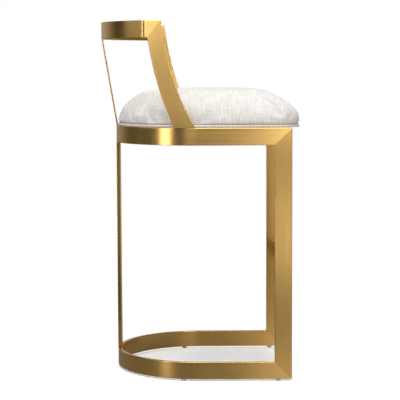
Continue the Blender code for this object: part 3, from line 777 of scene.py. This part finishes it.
def cut_board_place(piece):
    """Cut the board's outline, a hair larger, out of the underside."""
    inset = board_low[0] - cover_low[0] - BOARD_PLAY
    heights = (SKIRT_FOOT - UNDERSIDE_MARGIN, board_high[2] + BOARD_PLAY)
    grid = np.stack([outline_ring(inset, 1, height) for height in heights])
    cut_away(piece, add_piece("board_place", mesh_from_grid("board_place", grid, "pole")))


subdivide_once(cushion)
tuck_in(cushion)
cut_board_place(cushion)
shade(cushion.data, CUSHION_SHARP_ANGLE)
belongs(cushion, "seat_fabric", "seat_cover", "seat_foam")

# %% [markdown]
# ## Piping
# A cord covered in the same cloth runs round the foot of the cushion and hides the seam. It is a
# tube along the outline, round above and pressed squarer below, where it sits on the frame.

# %% Piping
WELT_RADIUS = 0.0035
WELT_SIDES, WELT_SPACING = 20, 0.003


def tube_grid(line, radius):
    """Rings round a closed line in a level plane: round above, and squarer below.

    With a the turn, the upper half is radius x (cos a, sin a). The lower half is pressed against
    the frame, so there each of the two is replaced by its own square root, its sign kept.
    """
    ahead = np.roll(line, -1, axis=0) - np.roll(line, 1, axis=0)
    ahead /= np.linalg.norm(ahead, axis=1, keepdims=True)
    side = stack(ahead[:, 1], -ahead[:, 0], 0)
    turn = np.linspace(0, 2 * math.pi, WELT_SIDES, endpoint=False)
    across, rise = np.cos(turn), np.sin(turn)
    across = np.where(rise < 0, np.sign(across) * np.sqrt(np.abs(across)), across)
    rise = np.where(rise < 0, -np.sqrt(np.abs(rise)), rise)
    ring = side[:, None] * across[:, None] + np.array([0, 0, 1.0]) * rise[:, None]
    return line[:, None] + ring * radius


welt_ring = outline_ring(WELT_RADIUS, 1, SKIRT_FOOT + WELT_RADIUS)
welt_line, welt_length = dense(welt_ring, WELT_SPACING)
welt_mesh = mesh_from_grid("woven_piping", tube_grid(welt_line, WELT_RADIUS), loop=True)
welt = add_piece("woven_piping", welt_mesh)
belongs(welt, "seat_fabric", "seat_welt")
print(f"piping is {welt_length:.3f} m long")

# %% [markdown]
# ## Small fittings
# Glides, studs and screws are turned: a profile of radius and height is carried round an axis.
# The profile is rounded at its corners, where the light catches. A screw's head gets a hexagon
# socket, cut out with a Boolean that is applied at once. The tee nuts keep their CAD shape.

# %% Turned pieces
TURN_STEPS = 48
FITTING_ROUND = 0.0004
ROUND_STEPS = 4
FITTING_SHARP_ANGLE = 30
TIP = 1e-5
PLACES = ("front_left", "front_right", "rear_left", "rear_right")


def rounded_profile(corners, radius):
    """A (radius, height) profile whose inner corners are each replaced by a short quarter turn."""
    corners = np.array(corners, float)
    points = [corners[:1]]
    share = np.linspace(0, 1, ROUND_STEPS)[:, None]
    for before, corner, after in zip(corners, corners[1:], corners[2:]):
        steps = [side / np.linalg.norm(side) for side in (before - corner, after - corner)]
        start, end = corner + steps[0] * radius, corner + steps[1] * radius
        points.append(start * (1 - share) ** 2 + corner * 2 * share * (1 - share) + end * share ** 2)
    return np.concatenate(points + [corners[-1:]])


def turned_piece(name, profile, place):
    """Rings (r cos a, r sin a, z) of a profile from its lower tip to its upper tip, both closed."""
    turn = np.linspace(0, 2 * math.pi, TURN_STEPS, endpoint=False)
    radius, height = profile[:, None, 0], profile[:, None, 1]
    grid = stack(place[0] + radius * np.cos(turn), place[1] + radius * np.sin(turn), height)
    return add_piece(name, mesh_from_grid(name, grid, "pole"), FITTING_SHARP_ANGLE)


def upright_prism(name, sides, place, radius, low, high):
    """A plain cutter standing on end, with as many sides as asked for."""
    turn = np.linspace(0, 2 * math.pi, sides, endpoint=False)
    ring = stack(place[0] + radius * np.cos(turn), place[1] + radius * np.sin(turn), 0)
    grid = ring + np.array([0, 0, 1.0]) * np.array([low, high])[:, None, None]
    return add_piece(name, mesh_from_grid(name, grid, "pole"))


def node_axis(node):
    """The place of an upright round node's axis, its lower and upper end, and its radius."""
    low, high = node_box(node)
    return (low + high)[:2] / 2, low[2], high[2], (high[0] - low[0]) / 2


# %% Glides
TREAD_SHARE, TREAD_RISE = 0.8, 0.0012
WELL_PLAY, WELL_DEEPER = FITTING_ROUND / 4, FITTING_ROUND / 2


def make_glide(place):
    """A moulded pad with a rounded tread, and a well in its top for the stud."""
    axis, low, high, radius = node_axis("glide_pad_" + place)
    stud_axis, stud_low, stud_high, stud_radius = node_axis("glide_stud_" + place)
    well, well_foot = stud_radius + WELL_PLAY, stud_low - WELL_DEEPER
    corners = [(TIP, low), (radius * TREAD_SHARE, low), (radius, low + TREAD_RISE), (radius, high),
               (well, high), (well, well_foot), (TIP, well_foot)]
    pad = turned_piece("moulded_pad_" + place, rounded_profile(corners, FITTING_ROUND), axis)
    corners = [(TIP, stud_low), (stud_radius, stud_low), (stud_radius, stud_high), (TIP, stud_high)]
    stud = turned_piece("turned_stud_" + place, rounded_profile(corners, FITTING_ROUND), stud_axis)
    belongs(pad, "glide_plastic", "glide_pad_" + place)
    belongs(stud, "zinc_hardware", "glide_stud_" + place)


# %% Screws
SCREW_HEAD_HEIGHT, SCREW_SHANK_RADIUS = 0.0033, 0.003
SCREW_CROWN_SHARE, SCREW_CROWN_STEPS = 0.45, 8
SCREW_RIM_HEIGHT, SCREW_LEAD = 0.0004, 0.0008
SOCKET_SIDES, SOCKET_WIDTH, SOCKET_DEPTH = 6, 0.0046, 0.002


def make_screw(place):
    """A button-head screw: a domed head below and a plain shank with a short lead at its tip.

    The head's dome is a quarter ellipse from a flat crown out to a thin upright rim.
    """
    axis, low, high, radius = node_axis("seat_screw_" + place)
    under, crown = low + SCREW_HEAD_HEIGHT, radius * SCREW_CROWN_SHARE
    turn = np.linspace(0.0, math.pi / 2, SCREW_CROWN_STEPS)[1:]
    rim_foot = under - SCREW_RIM_HEIGHT
    head = np.stack([crown + (radius - crown) * np.sin(turn),
                     rim_foot - (rim_foot - low) * np.cos(turn)], axis=1)
    shank = [(radius, under), (SCREW_SHANK_RADIUS, under), (SCREW_SHANK_RADIUS, high - SCREW_LEAD),
             (SCREW_SHANK_RADIUS - SCREW_LEAD, high), (TIP, high)]
    profile = np.concatenate([[(TIP, low), (crown, low)], head, shank])
    screw = turned_piece("turned_screw_" + place, profile, axis)
    cut_away(screw, upright_prism("socket_cutter", SOCKET_SIDES, axis, SOCKET_WIDTH / 2,
                                  low - SOCKET_DEPTH, low + SOCKET_DEPTH))
    shade(screw.data, FITTING_SHARP_ANGLE)
    belongs(screw, "zinc_hardware", "seat_screw_" + place)


for place in PLACES:
    make_glide(place)
    make_screw(place)
print("turned fittings:", 3 * len(PLACES))

# %% [markdown]
# ## Dust cover
# A thin black cloth is stretched flat under the board and covers it to its edge. It is one
# sheet: rings drawn in from the outline on its underside, an upright edge, and the same rings on
# its upper side. A Boolean punches the four holes that the screws pass through.

# %% Dust cover
DUST_INSET = dust_low[0] - cover_low[0]
DUST_HOLE_RADIUS = 0.0042
DUST_SHARES = np.concatenate([np.linspace(0.05, 0.97, 12), [1.0]])


def outline_area(points):
    """The shoelace formula: half the sum of x times the next y less y times the next x."""
    following = np.roll(points, -1, axis=0)
    return abs(np.sum(points[:, 0] * following[:, 1] - points[:, 1] * following[:, 0])) / 2


def make_dust_cover():
    """Rings out over the underside and back in over the upper side, then the four holes."""
    name, low, high = "stretched_dust_cover", dust_low[2], dust_high[2]
    rings = [outline_ring(DUST_INSET, share, low) for share in DUST_SHARES]
    rings += [outline_ring(DUST_INSET, share, high) for share in DUST_SHARES[::-1]]
    cover = add_piece(name, mesh_from_grid(name, np.stack(rings), "pole"))
    holes = [upright_prism("hole_" + place, TURN_STEPS, node_axis("seat_screw_" + place)[0],
                           DUST_HOLE_RADIUS, low - DUST_HOLE_RADIUS, high + DUST_HOLE_RADIUS)
             for place in PLACES]
    cut_away(cover, *holes)
    belongs(cover, "dust_cloth", "dust_cover")
    flat = seat_outline(DUST_INSET)
    tuple(np.ptp(flat, axis=0))
    outline_area(flat)
    return cover


dust_cover = make_dust_cover()
print("dust cover faces:", len(dust_cover.data.polygons))

# %% [markdown]
# ## Materials
# A small helper makes each node and fills its sockets, so that a material reads as a list of
# steps. Effects that several finishes share are node groups, built once with named inputs and
# outputs. They put out only masks and heights, and the shader stays in each material.

# %% Node helpers
def give(tree, socket, value):
    """Link a socket to another socket, or set it to a number, a vector or a colour."""
    if isinstance(value, bpy.types.NodeSocket):
        tree.links.new(value, socket)
    elif socket.type == "RGBA":
        socket.default_value = (*value, 1)
    else:
        socket.default_value = value


def fill(tree, sockets, **values):
    """Give sockets their values by name; an underscore stands for a space."""
    for key, value in values.items():
        give(tree, sockets[key.replace("_", " ")], value)


def add_node(tree, kind, settings=None, **values):
    """A node whose settings and sockets are given by name."""
    node = tree.nodes.new(kind)
    for key, value in (settings or {}).items():
        setattr(node, key, value)
    fill(tree, node.inputs, **values)
    return node


def calculate(tree, operation, *values, kind="ShaderNodeMath"):
    """A math node's result, from numbers or sockets."""
    node = add_node(tree, kind, {"operation": operation})
    for socket, value in zip(node.inputs, values):
        give(tree, socket, value)
    return node.outputs[0]


def stretched(tree, place, factors):
    """A place times its own factor along each axis: a large factor packs a pattern closely."""
    return calculate(tree, "MULTIPLY", place, factors, kind="ShaderNodeVectorMath")


def weighted_sum(tree, *pairs):
    """The sum of values, each times its own weight."""
    total, *others = [calculate(tree, "MULTIPLY", *pair) for pair in pairs]
    for product in others:
        total = calculate(tree, "ADD", total, product)
    return total


def ease(tree, value, from_low, from_high, to_low=0.0, to_high=1.0):
    """A value carried smoothly from one range to another."""
    node = add_node(tree, "ShaderNodeMapRange", {"interpolation_type": "SMOOTHSTEP"}, Value=value,
                    From_Min=from_low, From_Max=from_high, To_Min=to_low, To_Max=to_high)
    return node.outputs["Result"]


def blend_colours(tree, share, first, second):
    """The first colour where the share is 0, the second where it is 1."""
    node = add_node(tree, "ShaderNodeMix", {"data_type": "RGBA"})
    for socket, value in zip((node.inputs["Factor"], *node.inputs[6:8]), (share, first, second)):
        give(tree, socket, value)
    return node.outputs[2]


# %% Patterns, places and finishes
def noise(tree, place, scale=1.0, detail=2.0, roughness=0.5):
    """Soft noise; where the place is stretched already, its scale stays 1."""
    node = add_node(tree, "ShaderNodeTexNoise", None, Vector=place, Scale=scale, Detail=detail,
                    Roughness=roughness)
    return node.outputs["Fac"]


def object_place(tree):
    """The point's own place in metres, in the stool's frame."""
    return add_node(tree, "ShaderNodeTexCoord").outputs["Object"]


def split(tree, vector):
    """The X, Y and Z of a vector."""
    return add_node(tree, "ShaderNodeSeparateXYZ", None, Vector=vector).outputs


def facing(tree):
    """The X, Y and Z of the direction that the surface faces."""
    return split(tree, add_node(tree, "ShaderNodeNewGeometry").outputs["Normal"])


def bump_from(tree, height, strength, distance):
    """A normal that makes a height pattern look raised."""
    node = add_node(tree, "ShaderNodeBump", None, Height=height, Strength=strength, Distance=distance)
    return node.outputs["Normal"]


def new_group(name, numbers, results):
    """An empty node group: a Vector and named numbers go in, masks or heights come out."""
    tree = bpy.data.node_groups.new(name, "ShaderNodeTree")
    tree.interface.new_socket("Vector", in_out="INPUT", socket_type="NodeSocketVector")
    for title, value in numbers.items():
        socket = tree.interface.new_socket(title, in_out="INPUT", socket_type="NodeSocketFloat")
        socket.default_value = value
    for title in results:
        tree.interface.new_socket(title, in_out="OUTPUT", socket_type="NodeSocketFloat")
    return tree, tree.nodes.new("NodeGroupInput").outputs, tree.nodes.new("NodeGroupOutput").inputs


def use_group(tree, group, **values):
    """A group placed in a material with its own values."""
    return add_node(tree, "ShaderNodeGroup", {"node_tree": group}, **values).outputs


def new_material(name):
    """A material, its node tree and its shader's sockets."""
    material = bpy.data.materials.new(name)
    material.use_nodes = True
    tree = material.node_tree
    return material, tree, tree.nodes["Principled BSDF"].inputs


# %% Dressing pieces
def dress(material, *pieces):
    """Give pieces one material in place of what they had."""
    for piece in pieces:
        piece.data.materials.clear()
        piece.data.materials.append(material)


def pieces_named(*starts):
    """The new pieces whose names start in one of these ways."""
    return [piece for piece in SCENE.objects if piece.type == "MESH" and piece.name.startswith(starts)]


def nodes_named(start):
    """The CAD nodes whose names start this way."""
    return [node for name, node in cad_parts.items() if name.startswith(start)]


# %% [markdown]
# ## Brushed grain
# A belt sander leaves thousands of fine parallel scratches along a bar. The group stretches a
# noise so that it changes fast across the bar and hardly at all along it. It gives two masks:
# fine lines, and broad bands where the belt pressed harder.

# %% Grain group
GRAIN_LINES, GRAIN_RUN = 1700.0, 5.0
BAND_STRETCH = (0.08, 0.40, 0.08)


def grain_group():
    """Lines per metre across the grain and changes per metre along it go in, two masks come out."""
    tree, given, wanted = new_group("brushed_grain", {"Lines": GRAIN_LINES, "Run": GRAIN_RUN},
                                    ("Lines", "Bands"))
    factors = add_node(tree, "ShaderNodeCombineXYZ", None, X=given["Lines"], Y=given["Run"],
                       Z=given["Lines"])
    place = stretched(tree, given["Vector"], factors.outputs[0])
    fine = noise(tree, place, detail=3.0, roughness=0.65)
    broad = noise(tree, stretched(tree, place, BAND_STRETCH))
    fill(tree, wanted, Lines=ease(tree, fine, 0.3, 0.7), Bands=ease(tree, broad, 0.35, 0.65))
    return tree


GRAIN = grain_group()

# %% [markdown]
# ## Brass
# Satin brass is a metal whose scratches scatter light across the grain much more than along it.
# The shader's anisotropy does that, and a Tangent node tells it which way the grain runs, from
# the UV map laid on each bar. The lines change colour, roughness and height only a little.

# %% Brass
BRASS_LIGHT, BRASS_DEEP = (0.88, 0.565, 0.195), (0.80, 0.49, 0.15)
BRASS_ROUGHNESS, BAND_ROUGHNESS, EDGE_POLISH = 0.275, 0.03, 0.05
BRASS_ANISOTROPY = 0.60
PATINA_SCALE = 9.0
SCRATCH_STRENGTH, SCRATCH_DEPTH = 0.02, 0.000004


def brass_material(name, on_bar):
    """Brushed brass; on a bar the grain and the tangent follow the bar's own UV map."""
    material, tree, shader = new_material(name)
    body_place = object_place(tree)
    grain_place = body_place
    if on_bar:
        grain_place = add_node(tree, "ShaderNodeUVMap", {"uv_map": "grain"}).outputs[0]
    grain = use_group(tree, GRAIN, Vector=grain_place, Lines=GRAIN_LINES, Run=GRAIN_RUN)
    patina = noise(tree, body_place, scale=PATINA_SCALE, detail=3.0)
    tone = weighted_sum(tree, (grain["Lines"], 0.45), (patina, 0.55))
    banded = calculate(tree, "MULTIPLY", grain["Bands"], BAND_ROUGHNESS)
    rough = calculate(tree, "ADD", banded, BRASS_ROUGHNESS)
    if on_bar:
        edge = add_node(tree, "ShaderNodeAttribute", {"attribute_name": "edge"}).outputs["Fac"]
        rough = calculate(tree, "SUBTRACT", rough, calculate(tree, "MULTIPLY", edge, EDGE_POLISH))
        tangent = add_node(tree, "ShaderNodeTangent", {"direction_type": "UV_MAP", "uv_map": "grain"})
        fill(tree, shader, Tangent=tangent.outputs[0], Anisotropic=BRASS_ANISOTROPY)
    fill(tree, shader, Base_Color=blend_colours(tree, tone, BRASS_DEEP, BRASS_LIGHT), Metallic=1.0,
         Roughness=rough, Normal=bump_from(tree, grain["Lines"], SCRATCH_STRENGTH, SCRATCH_DEPTH))
    return material


dress(brass_material("brushed_brass", on_bar=True), *pieces_named("brass_"))
dress(brass_material("brushed_brass_tabs", on_bar=False), *nodes_named("seat_tab"))
print("brass pieces:", len(pieces_named("brass_")))

# %% [markdown]
# ## Woven cloth
# The cover is a slubby plain weave in ivory: threads of uneven thickness cross over and under
# each other. The pattern is laid on from three sides and blended by the surface's direction, so
# it needs no UV map and has no seam. The group gives a height for the relief and a mask for
# thick, pale slubs.

# %% Weave group
WEAVE_PITCH = 0.0016
WOBBLE_SCALE, WOBBLE_REACH = 140.0, 0.0016
SLUB_STRETCHES = (420.0, 26.0, 1.0), (22.0, 380.0, 1.0)


def weave_plane(tree, first, second, pitch):
    """Height and slub of a plain weave on two coordinates of the place.

    The height is the size of sin(pi x first / pitch) x sin(pi x second / pitch), where a slow
    noise shifts both coordinates. The slub is noise drawn out along each of the two in turn.
    """
    place = add_node(tree, "ShaderNodeCombineXYZ", None, X=first, Y=second).outputs[0]
    wander = noise(tree, place, scale=WOBBLE_SCALE, detail=1.0)
    wobble = calculate(tree, "SUBTRACT", wander, 0.5)
    shift = calculate(tree, "MULTIPLY", wobble, WOBBLE_REACH)
    waves = []
    for value in (first, second):
        threads = calculate(tree, "DIVIDE", calculate(tree, "ADD", value, shift), pitch)
        waves.append(calculate(tree, "SINE", calculate(tree, "MULTIPLY", threads, math.pi)))
    warp, weft = [noise(tree, stretched(tree, place, factors)) for factors in SLUB_STRETCHES]
    height = calculate(tree, "ABSOLUTE", calculate(tree, "MULTIPLY", *waves))
    return height, weighted_sum(tree, (warp, 0.6), (weft, 0.4))


def weave_group():
    """The weave laid on along X, Y and Z, each weighted by the normal's own part to the power of 4."""
    tree, given, wanted = new_group("slub_weave", {"Pitch": WEAVE_PITCH}, ("Height", "Slub"))
    x, y, z = split(tree, given["Vector"])
    weights = [calculate(tree, "POWER", calculate(tree, "ABSOLUTE", part), 4.0) for part in facing(tree)]
    total = calculate(tree, "ADD", calculate(tree, "ADD", *weights[:2]), weights[2])
    shares = [calculate(tree, "DIVIDE", weight, total) for weight in weights]
    planes = [weave_plane(tree, *pair, given["Pitch"]) for pair in ((y, z), (x, z), (x, y))]
    heights, slubs = zip(*planes)
    fill(tree, wanted, Height=weighted_sum(tree, *zip(heights, shares)),
         Slub=weighted_sum(tree, *zip(slubs, shares)))
    return tree


WEAVE = weave_group()

# %% Ivory cloth
# IVORY_SHADE is the tone of the thinner threads and also the painted shade in the weave's hollows.
IVORY_PALE, IVORY_SHADE = (0.535, 0.525, 0.502), (0.385, 0.370, 0.348)


def cloth_material(name):
    """Ivory threads: the slubs are paler and stand higher; the weave's height also paints shade into its
    hollows and a lighter tone onto its tops.
    """
    material, tree, shader = new_material(name)
    weave = use_group(tree, WEAVE, Vector=object_place(tree), Pitch=WEAVE_PITCH)
    slub = ease(tree, weave["Slub"], 0.38, 0.62)
    # Painted shade: a quarter of the colour's share is the weave's height, so the hollows between
    # threads are painted darker and the thread tops lighter.
    share = weighted_sum(tree, (slub, 0.75), (weave["Height"], 0.25))
    height = weighted_sum(tree, (weave["Height"], 1.0), (slub, 1.4))
    fill(tree, shader, Base_Color=blend_colours(tree, share, IVORY_SHADE, IVORY_PALE), Roughness=0.95,
         Sheen_Weight=0.15, Normal=bump_from(tree, height, strength=0.5, distance=0.0005))
    return material


dress(cloth_material("ivory_weave"), cushion, welt)

# %% [markdown]
# ## Zinc, plastic, plywood and dust cloth
# The fittings are small, but each has its own finish. Zinc plate shows pale crystals and dull
# patches. The glides are moulded plastic with a fine pebble. The board's faces show wood grain,
# and its edge the layers of the plywood. The dust cover is a thin bonded cloth of short fibres.

# %% Zinc
ZINC_PALE, ZINC_DULL = (0.66, 0.66, 0.63), (0.50, 0.50, 0.48)


def zinc_material():
    """Small crystals under dull clouds, on a metal."""
    material, tree, shader = new_material("zinc_plate")
    place = object_place(tree)
    crystals = add_node(tree, "ShaderNodeTexVoronoi", None, Vector=place, Scale=900.0)
    clouds = noise(tree, place, scale=260.0, detail=3.0)
    tone = ease(tree, calculate(tree, "MULTIPLY", crystals.outputs["Distance"], clouds), 0.1, 0.4)
    fill(tree, shader, Base_Color=blend_colours(tree, tone, ZINC_DULL, ZINC_PALE), Metallic=1.0,
         Roughness=ease(tree, clouds, 0.3, 0.7, 0.28, 0.46),
         Normal=bump_from(tree, clouds, strength=0.2, distance=0.00005))
    return material


dress(zinc_material(), *pieces_named("turned_stud_", "turned_screw_"), *nodes_named("tee_nut_"))

# %% Plastic
PLASTIC_PALE, PLASTIC_DARK = (0.36, 0.35, 0.36), (0.27, 0.265, 0.27)


def plastic_material():
    """A fine pebble for the relief, and slow patches of wear for tone and roughness."""
    material, tree, shader = new_material("moulded_plastic")
    place = object_place(tree)
    pebble = noise(tree, place, scale=2600.0)
    wear = noise(tree, place, scale=180.0, detail=3.0)
    tone = ease(tree, wear, 0.35, 0.65)
    fill(tree, shader, Base_Color=blend_colours(tree, tone, PLASTIC_DARK, PLASTIC_PALE),
         Roughness=ease(tree, wear, 0.3, 0.7, 0.42, 0.60),
         Normal=bump_from(tree, pebble, strength=0.25, distance=0.00006))
    return material


dress(plastic_material(), *pieces_named("moulded_pad_"))

# %% Plywood
WOOD_PALE, WOOD_DARK, GLUE_DARK = (0.64, 0.47, 0.29), (0.47, 0.32, 0.18), (0.25, 0.15, 0.08)
PLY_LAYERS, PLY_THICKNESS = 7, 0.012
GLUE_SHARE = 0.12
FIBRE_STRETCH = (9.0, 160.0, 160.0)


def plywood_material():
    """Long grain on every face, and on the edge the dark glue lines between seven layers."""
    material, tree, shader = new_material("birch_plywood")
    place = object_place(tree)
    fibre = noise(tree, stretched(tree, place, FIBRE_STRETCH), detail=5.0)
    rise = calculate(tree, "SUBTRACT", split(tree, place)["Z"], float(board_low[2]))
    layer = calculate(tree, "MULTIPLY", rise, PLY_LAYERS / PLY_THICKNESS)
    glue = calculate(tree, "LESS_THAN", calculate(tree, "FRACT", layer), GLUE_SHARE)
    on_edge = calculate(tree, "LESS_THAN", calculate(tree, "ABSOLUTE", facing(tree)["Z"]), 0.5)
    wood = blend_colours(tree, ease(tree, fibre, 0.3, 0.7), WOOD_DARK, WOOD_PALE)
    glued = calculate(tree, "MULTIPLY", glue, on_edge)
    fill(tree, shader, Base_Color=blend_colours(tree, glued, wood, GLUE_DARK),
         Roughness=ease(tree, fibre, 0.3, 0.7, 0.6, 0.75),
         Normal=bump_from(tree, fibre, strength=0.3, distance=0.0002))
    return material


dress(plywood_material(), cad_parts["seat_board"])

# %% Dust cloth
DUST_PALE, DUST_DARK = (0.050, 0.049, 0.048), (0.022, 0.022, 0.022)
DUST_STRETCHES = (1600.0, 220.0, 1.0), (260.0, 1400.0, 1.0)


def dust_material():
    """Short fibres that lie mostly two ways, bonded into a flat black cloth."""
    material, tree, shader = new_material("bonded_dust_cloth")
    place = object_place(tree)
    fibres = [noise(tree, stretched(tree, place, factors), detail=3.0) for factors in DUST_STRETCHES]
    mat = calculate(tree, "MULTIPLY", calculate(tree, "ADD", *fibres), 0.5)
    tone = ease(tree, mat, 0.4, 0.6)
    fill(tree, shader, Base_Color=blend_colours(tree, tone, DUST_DARK, DUST_PALE),
         Roughness=ease(tree, mat, 0.4, 0.6, 0.95, 0.80),
         Normal=bump_from(tree, mat, strength=0.4, distance=0.0002))
    return material


dress(dust_material(), dust_cover)
print("materials:", len(bpy.data.materials))

# %% [markdown]
# ## Floor and room
# The floor and the room are white where the camera sees them, so that no horizon shows. Inside
# the base hoop the floor is an ordinary matt one and takes the stool's shade. Polished metal
# shows whatever is around it, so its reflections see something else: a dim floor that is lighter
# at the right, and a room that is dark in front and lighter behind.

# %% Floor
FLOOR_SIZE = 12.0
FLOOR_GREY, FLOOR_ROUGHNESS, FLOOR_LIFT = (0.9, 0.9, 0.9), 0.9, 0.25
WHITE, WARM_WHITE = (1, 1, 1), (1, 0.97, 0.93)
RIGHT_GLOW_REACH, RIGHT_GLOW = (0.06, 0.24), (0.03, 0.36)
NEAR_GLOW_REACH, NEAR_GLOW = (-1.1, -0.4), (0.0, 0.16)
WHITE_FLOOR_REACH = (RADIUS - 0.012, RADIUS + 0.020)


def mix_shaders(tree, share, first, second):
    """The first node's shader where the share is 0, the second's where it is 1."""
    node = add_node(tree, "ShaderNodeMixShader")
    for socket, value in zip(node.inputs, (share, first.outputs[0], second.outputs[0])):
        give(tree, socket, value)
    return node


def white_share(tree, part):
    """0 inside the base hoop and 1 outside it, by distance from the hoop's middle line."""
    behind = calculate(tree, "MINIMUM", calculate(tree, "SUBTRACT", part["X"], CENTRE_X), 0.0)
    square = weighted_sum(tree, (behind, behind), (part["Y"], part["Y"]))
    front_way = calculate(tree, "ADD", calculate(tree, "SUBTRACT", part["X"], FRONT_X), RADIUS)
    way = calculate(tree, "MAXIMUM", calculate(tree, "SQRT", square), front_way)
    return ease(tree, way, *WHITE_FLOOR_REACH)


def floor_material():
    """Matt, white to the camera outside the hoop, and a soft glow in reflections."""
    material, tree, shader = new_material("pale_floor")
    matt = tree.nodes["Principled BSDF"]
    fill(tree, shader, Base_Color=FLOOR_GREY, Roughness=FLOOR_ROUGHNESS, Emission_Color=WHITE,
         Emission_Strength=FLOOR_LIFT)
    part = split(tree, object_place(tree))
    glow = calculate(tree, "ADD", ease(tree, part["X"], *RIGHT_GLOW_REACH, *RIGHT_GLOW),
                     ease(tree, part["Y"], *NEAR_GLOW_REACH, *NEAR_GLOW))
    mirrored = add_node(tree, "ShaderNodeEmission", None, Color=WARM_WHITE, Strength=glow)
    white = add_node(tree, "ShaderNodeEmission", None, Color=WHITE, Strength=1.0)
    path = add_node(tree, "ShaderNodeLightPath").outputs
    seen = mix_shaders(tree, white_share(tree, part), matt, white)
    lit = mix_shaders(tree, path["Is Camera Ray"], matt, seen)
    whole = mix_shaders(tree, path["Is Glossy Ray"], lit, mirrored)
    fill(tree, tree.nodes["Material Output"].inputs, Surface=whole.outputs[0])
    return material


def make_floor():
    corners = np.array([[-1, -1, 0], [1, -1, 0], [1, 1, 0], [-1, 1, 0]]) * FLOOR_SIZE
    mesh = bpy.data.meshes.new("floor")
    mesh.from_pydata(corners.tolist(), [], [[0, 1, 2, 3]])
    mesh.materials.append(floor_material())
    floor = bpy.data.objects.new("floor", mesh)
    SCENE.collection.objects.link(floor)


make_floor()

# %% Room
ROOM_BEHIND_REACH, ROOM_BEHIND = (0.35, 0.85), (0.0, 0.42)
ROOM_AMBIENT = 0.22


def make_world():
    """White to the camera, an even glow for diffuse light, and a shaped room for reflections."""
    world = bpy.data.worlds.new("room")
    SCENE.world = world
    world.use_nodes = True
    tree = world.node_tree
    part = split(tree, add_node(tree, "ShaderNodeTexCoord").outputs["Generated"])
    behind = ease(tree, part["Y"], *ROOM_BEHIND_REACH, *ROOM_BEHIND)
    path = add_node(tree, "ShaderNodeLightPath").outputs
    not_glossy = calculate(tree, "SUBTRACT", 1.0, path["Is Glossy Ray"])
    level = weighted_sum(tree, (behind, path["Is Glossy Ray"]), (not_glossy, ROOM_AMBIENT))
    strength = calculate(tree, "MAXIMUM", level, path["Is Camera Ray"])
    fill(tree, tree.nodes["Background"].inputs, Color=WHITE, Strength=strength)


make_world()

# %% [markdown]
# ## Soft boxes
# Eight rectangular lights stand round the stool, and the camera doesn't see them. The largest
# hangs above and lights the cushion. Three stand at the left, where the round rear of the hoops
# mirrors them as soft upright highlights. Four stand in front: a tall pair at the right lights
# the flat bars, one at the left fills the arm and the band, and a small low one the base hoop.

# %% Soft boxes
LIGHT_DISTANCE = 2.0


def soft_box(name, place, target, width, tall, radiance):
    """A rectangular light that faces a point; power is radiance x pi x area."""
    data = bpy.data.lights.new(name, "AREA")
    data.shape = "RECTANGLE"
    data.size, data.size_y = width, tall
    data.energy = radiance * math.pi * width * tall
    light = bpy.data.objects.new(name, data)
    light.location = place
    light.rotation_euler = (Vector(target) - Vector(place)).to_track_quat("-Z", "Y").to_euler()
    light.visible_camera = False
    SCENE.collection.objects.link(light)


def left_box(name, angle, z, width, tall, radiance):
    """A soft box at the left, turned so many degrees round the hoops' centre and facing it."""
    turn = math.radians(angle)
    place = (CENTRE_X - LIGHT_DISTANCE * math.sin(turn), -LIGHT_DISTANCE * math.cos(turn), z)
    soft_box(name, place, (CENTRE_X, 0, z), width, tall, radiance)


def front_box(name, x, z, width, tall, radiance, aim=None):
    """A soft box in front of the stool that faces straight back, or aims at another height."""
    soft_box(name, (x, -LIGHT_DISTANCE, z), (x, 0, aim or z), width, tall, radiance)


soft_box("overhead", (0.0, -0.3, 2.4), (0, 0, RAIL_TOP), width=1.8, tall=1.8, radiance=6.0)
left_box("left_high", angle=52, z=1.5, width=0.66, tall=0.8, radiance=2.4)
left_box("left_low", angle=45, z=0.42, width=0.42, tall=0.82, radiance=4.4)
left_box("left_far", angle=77, z=1.5, width=1.05, tall=0.8, radiance=1.2)
front_box("right_box", x=0.7, z=1.28, width=0.6, tall=1.25, radiance=6.0)
front_box("right_top", x=0.35, z=1.58, width=0.1, tall=0.65, radiance=3.0)
front_box("front_field", x=-0.40, z=1.45, width=0.6, tall=1.0, radiance=3.8, aim=1.1)
front_box("low_strip", x=0.36, z=0.19, width=0.16, tall=0.33, radiance=3.2)
SCENE.view_settings.view_transform = "Standard"
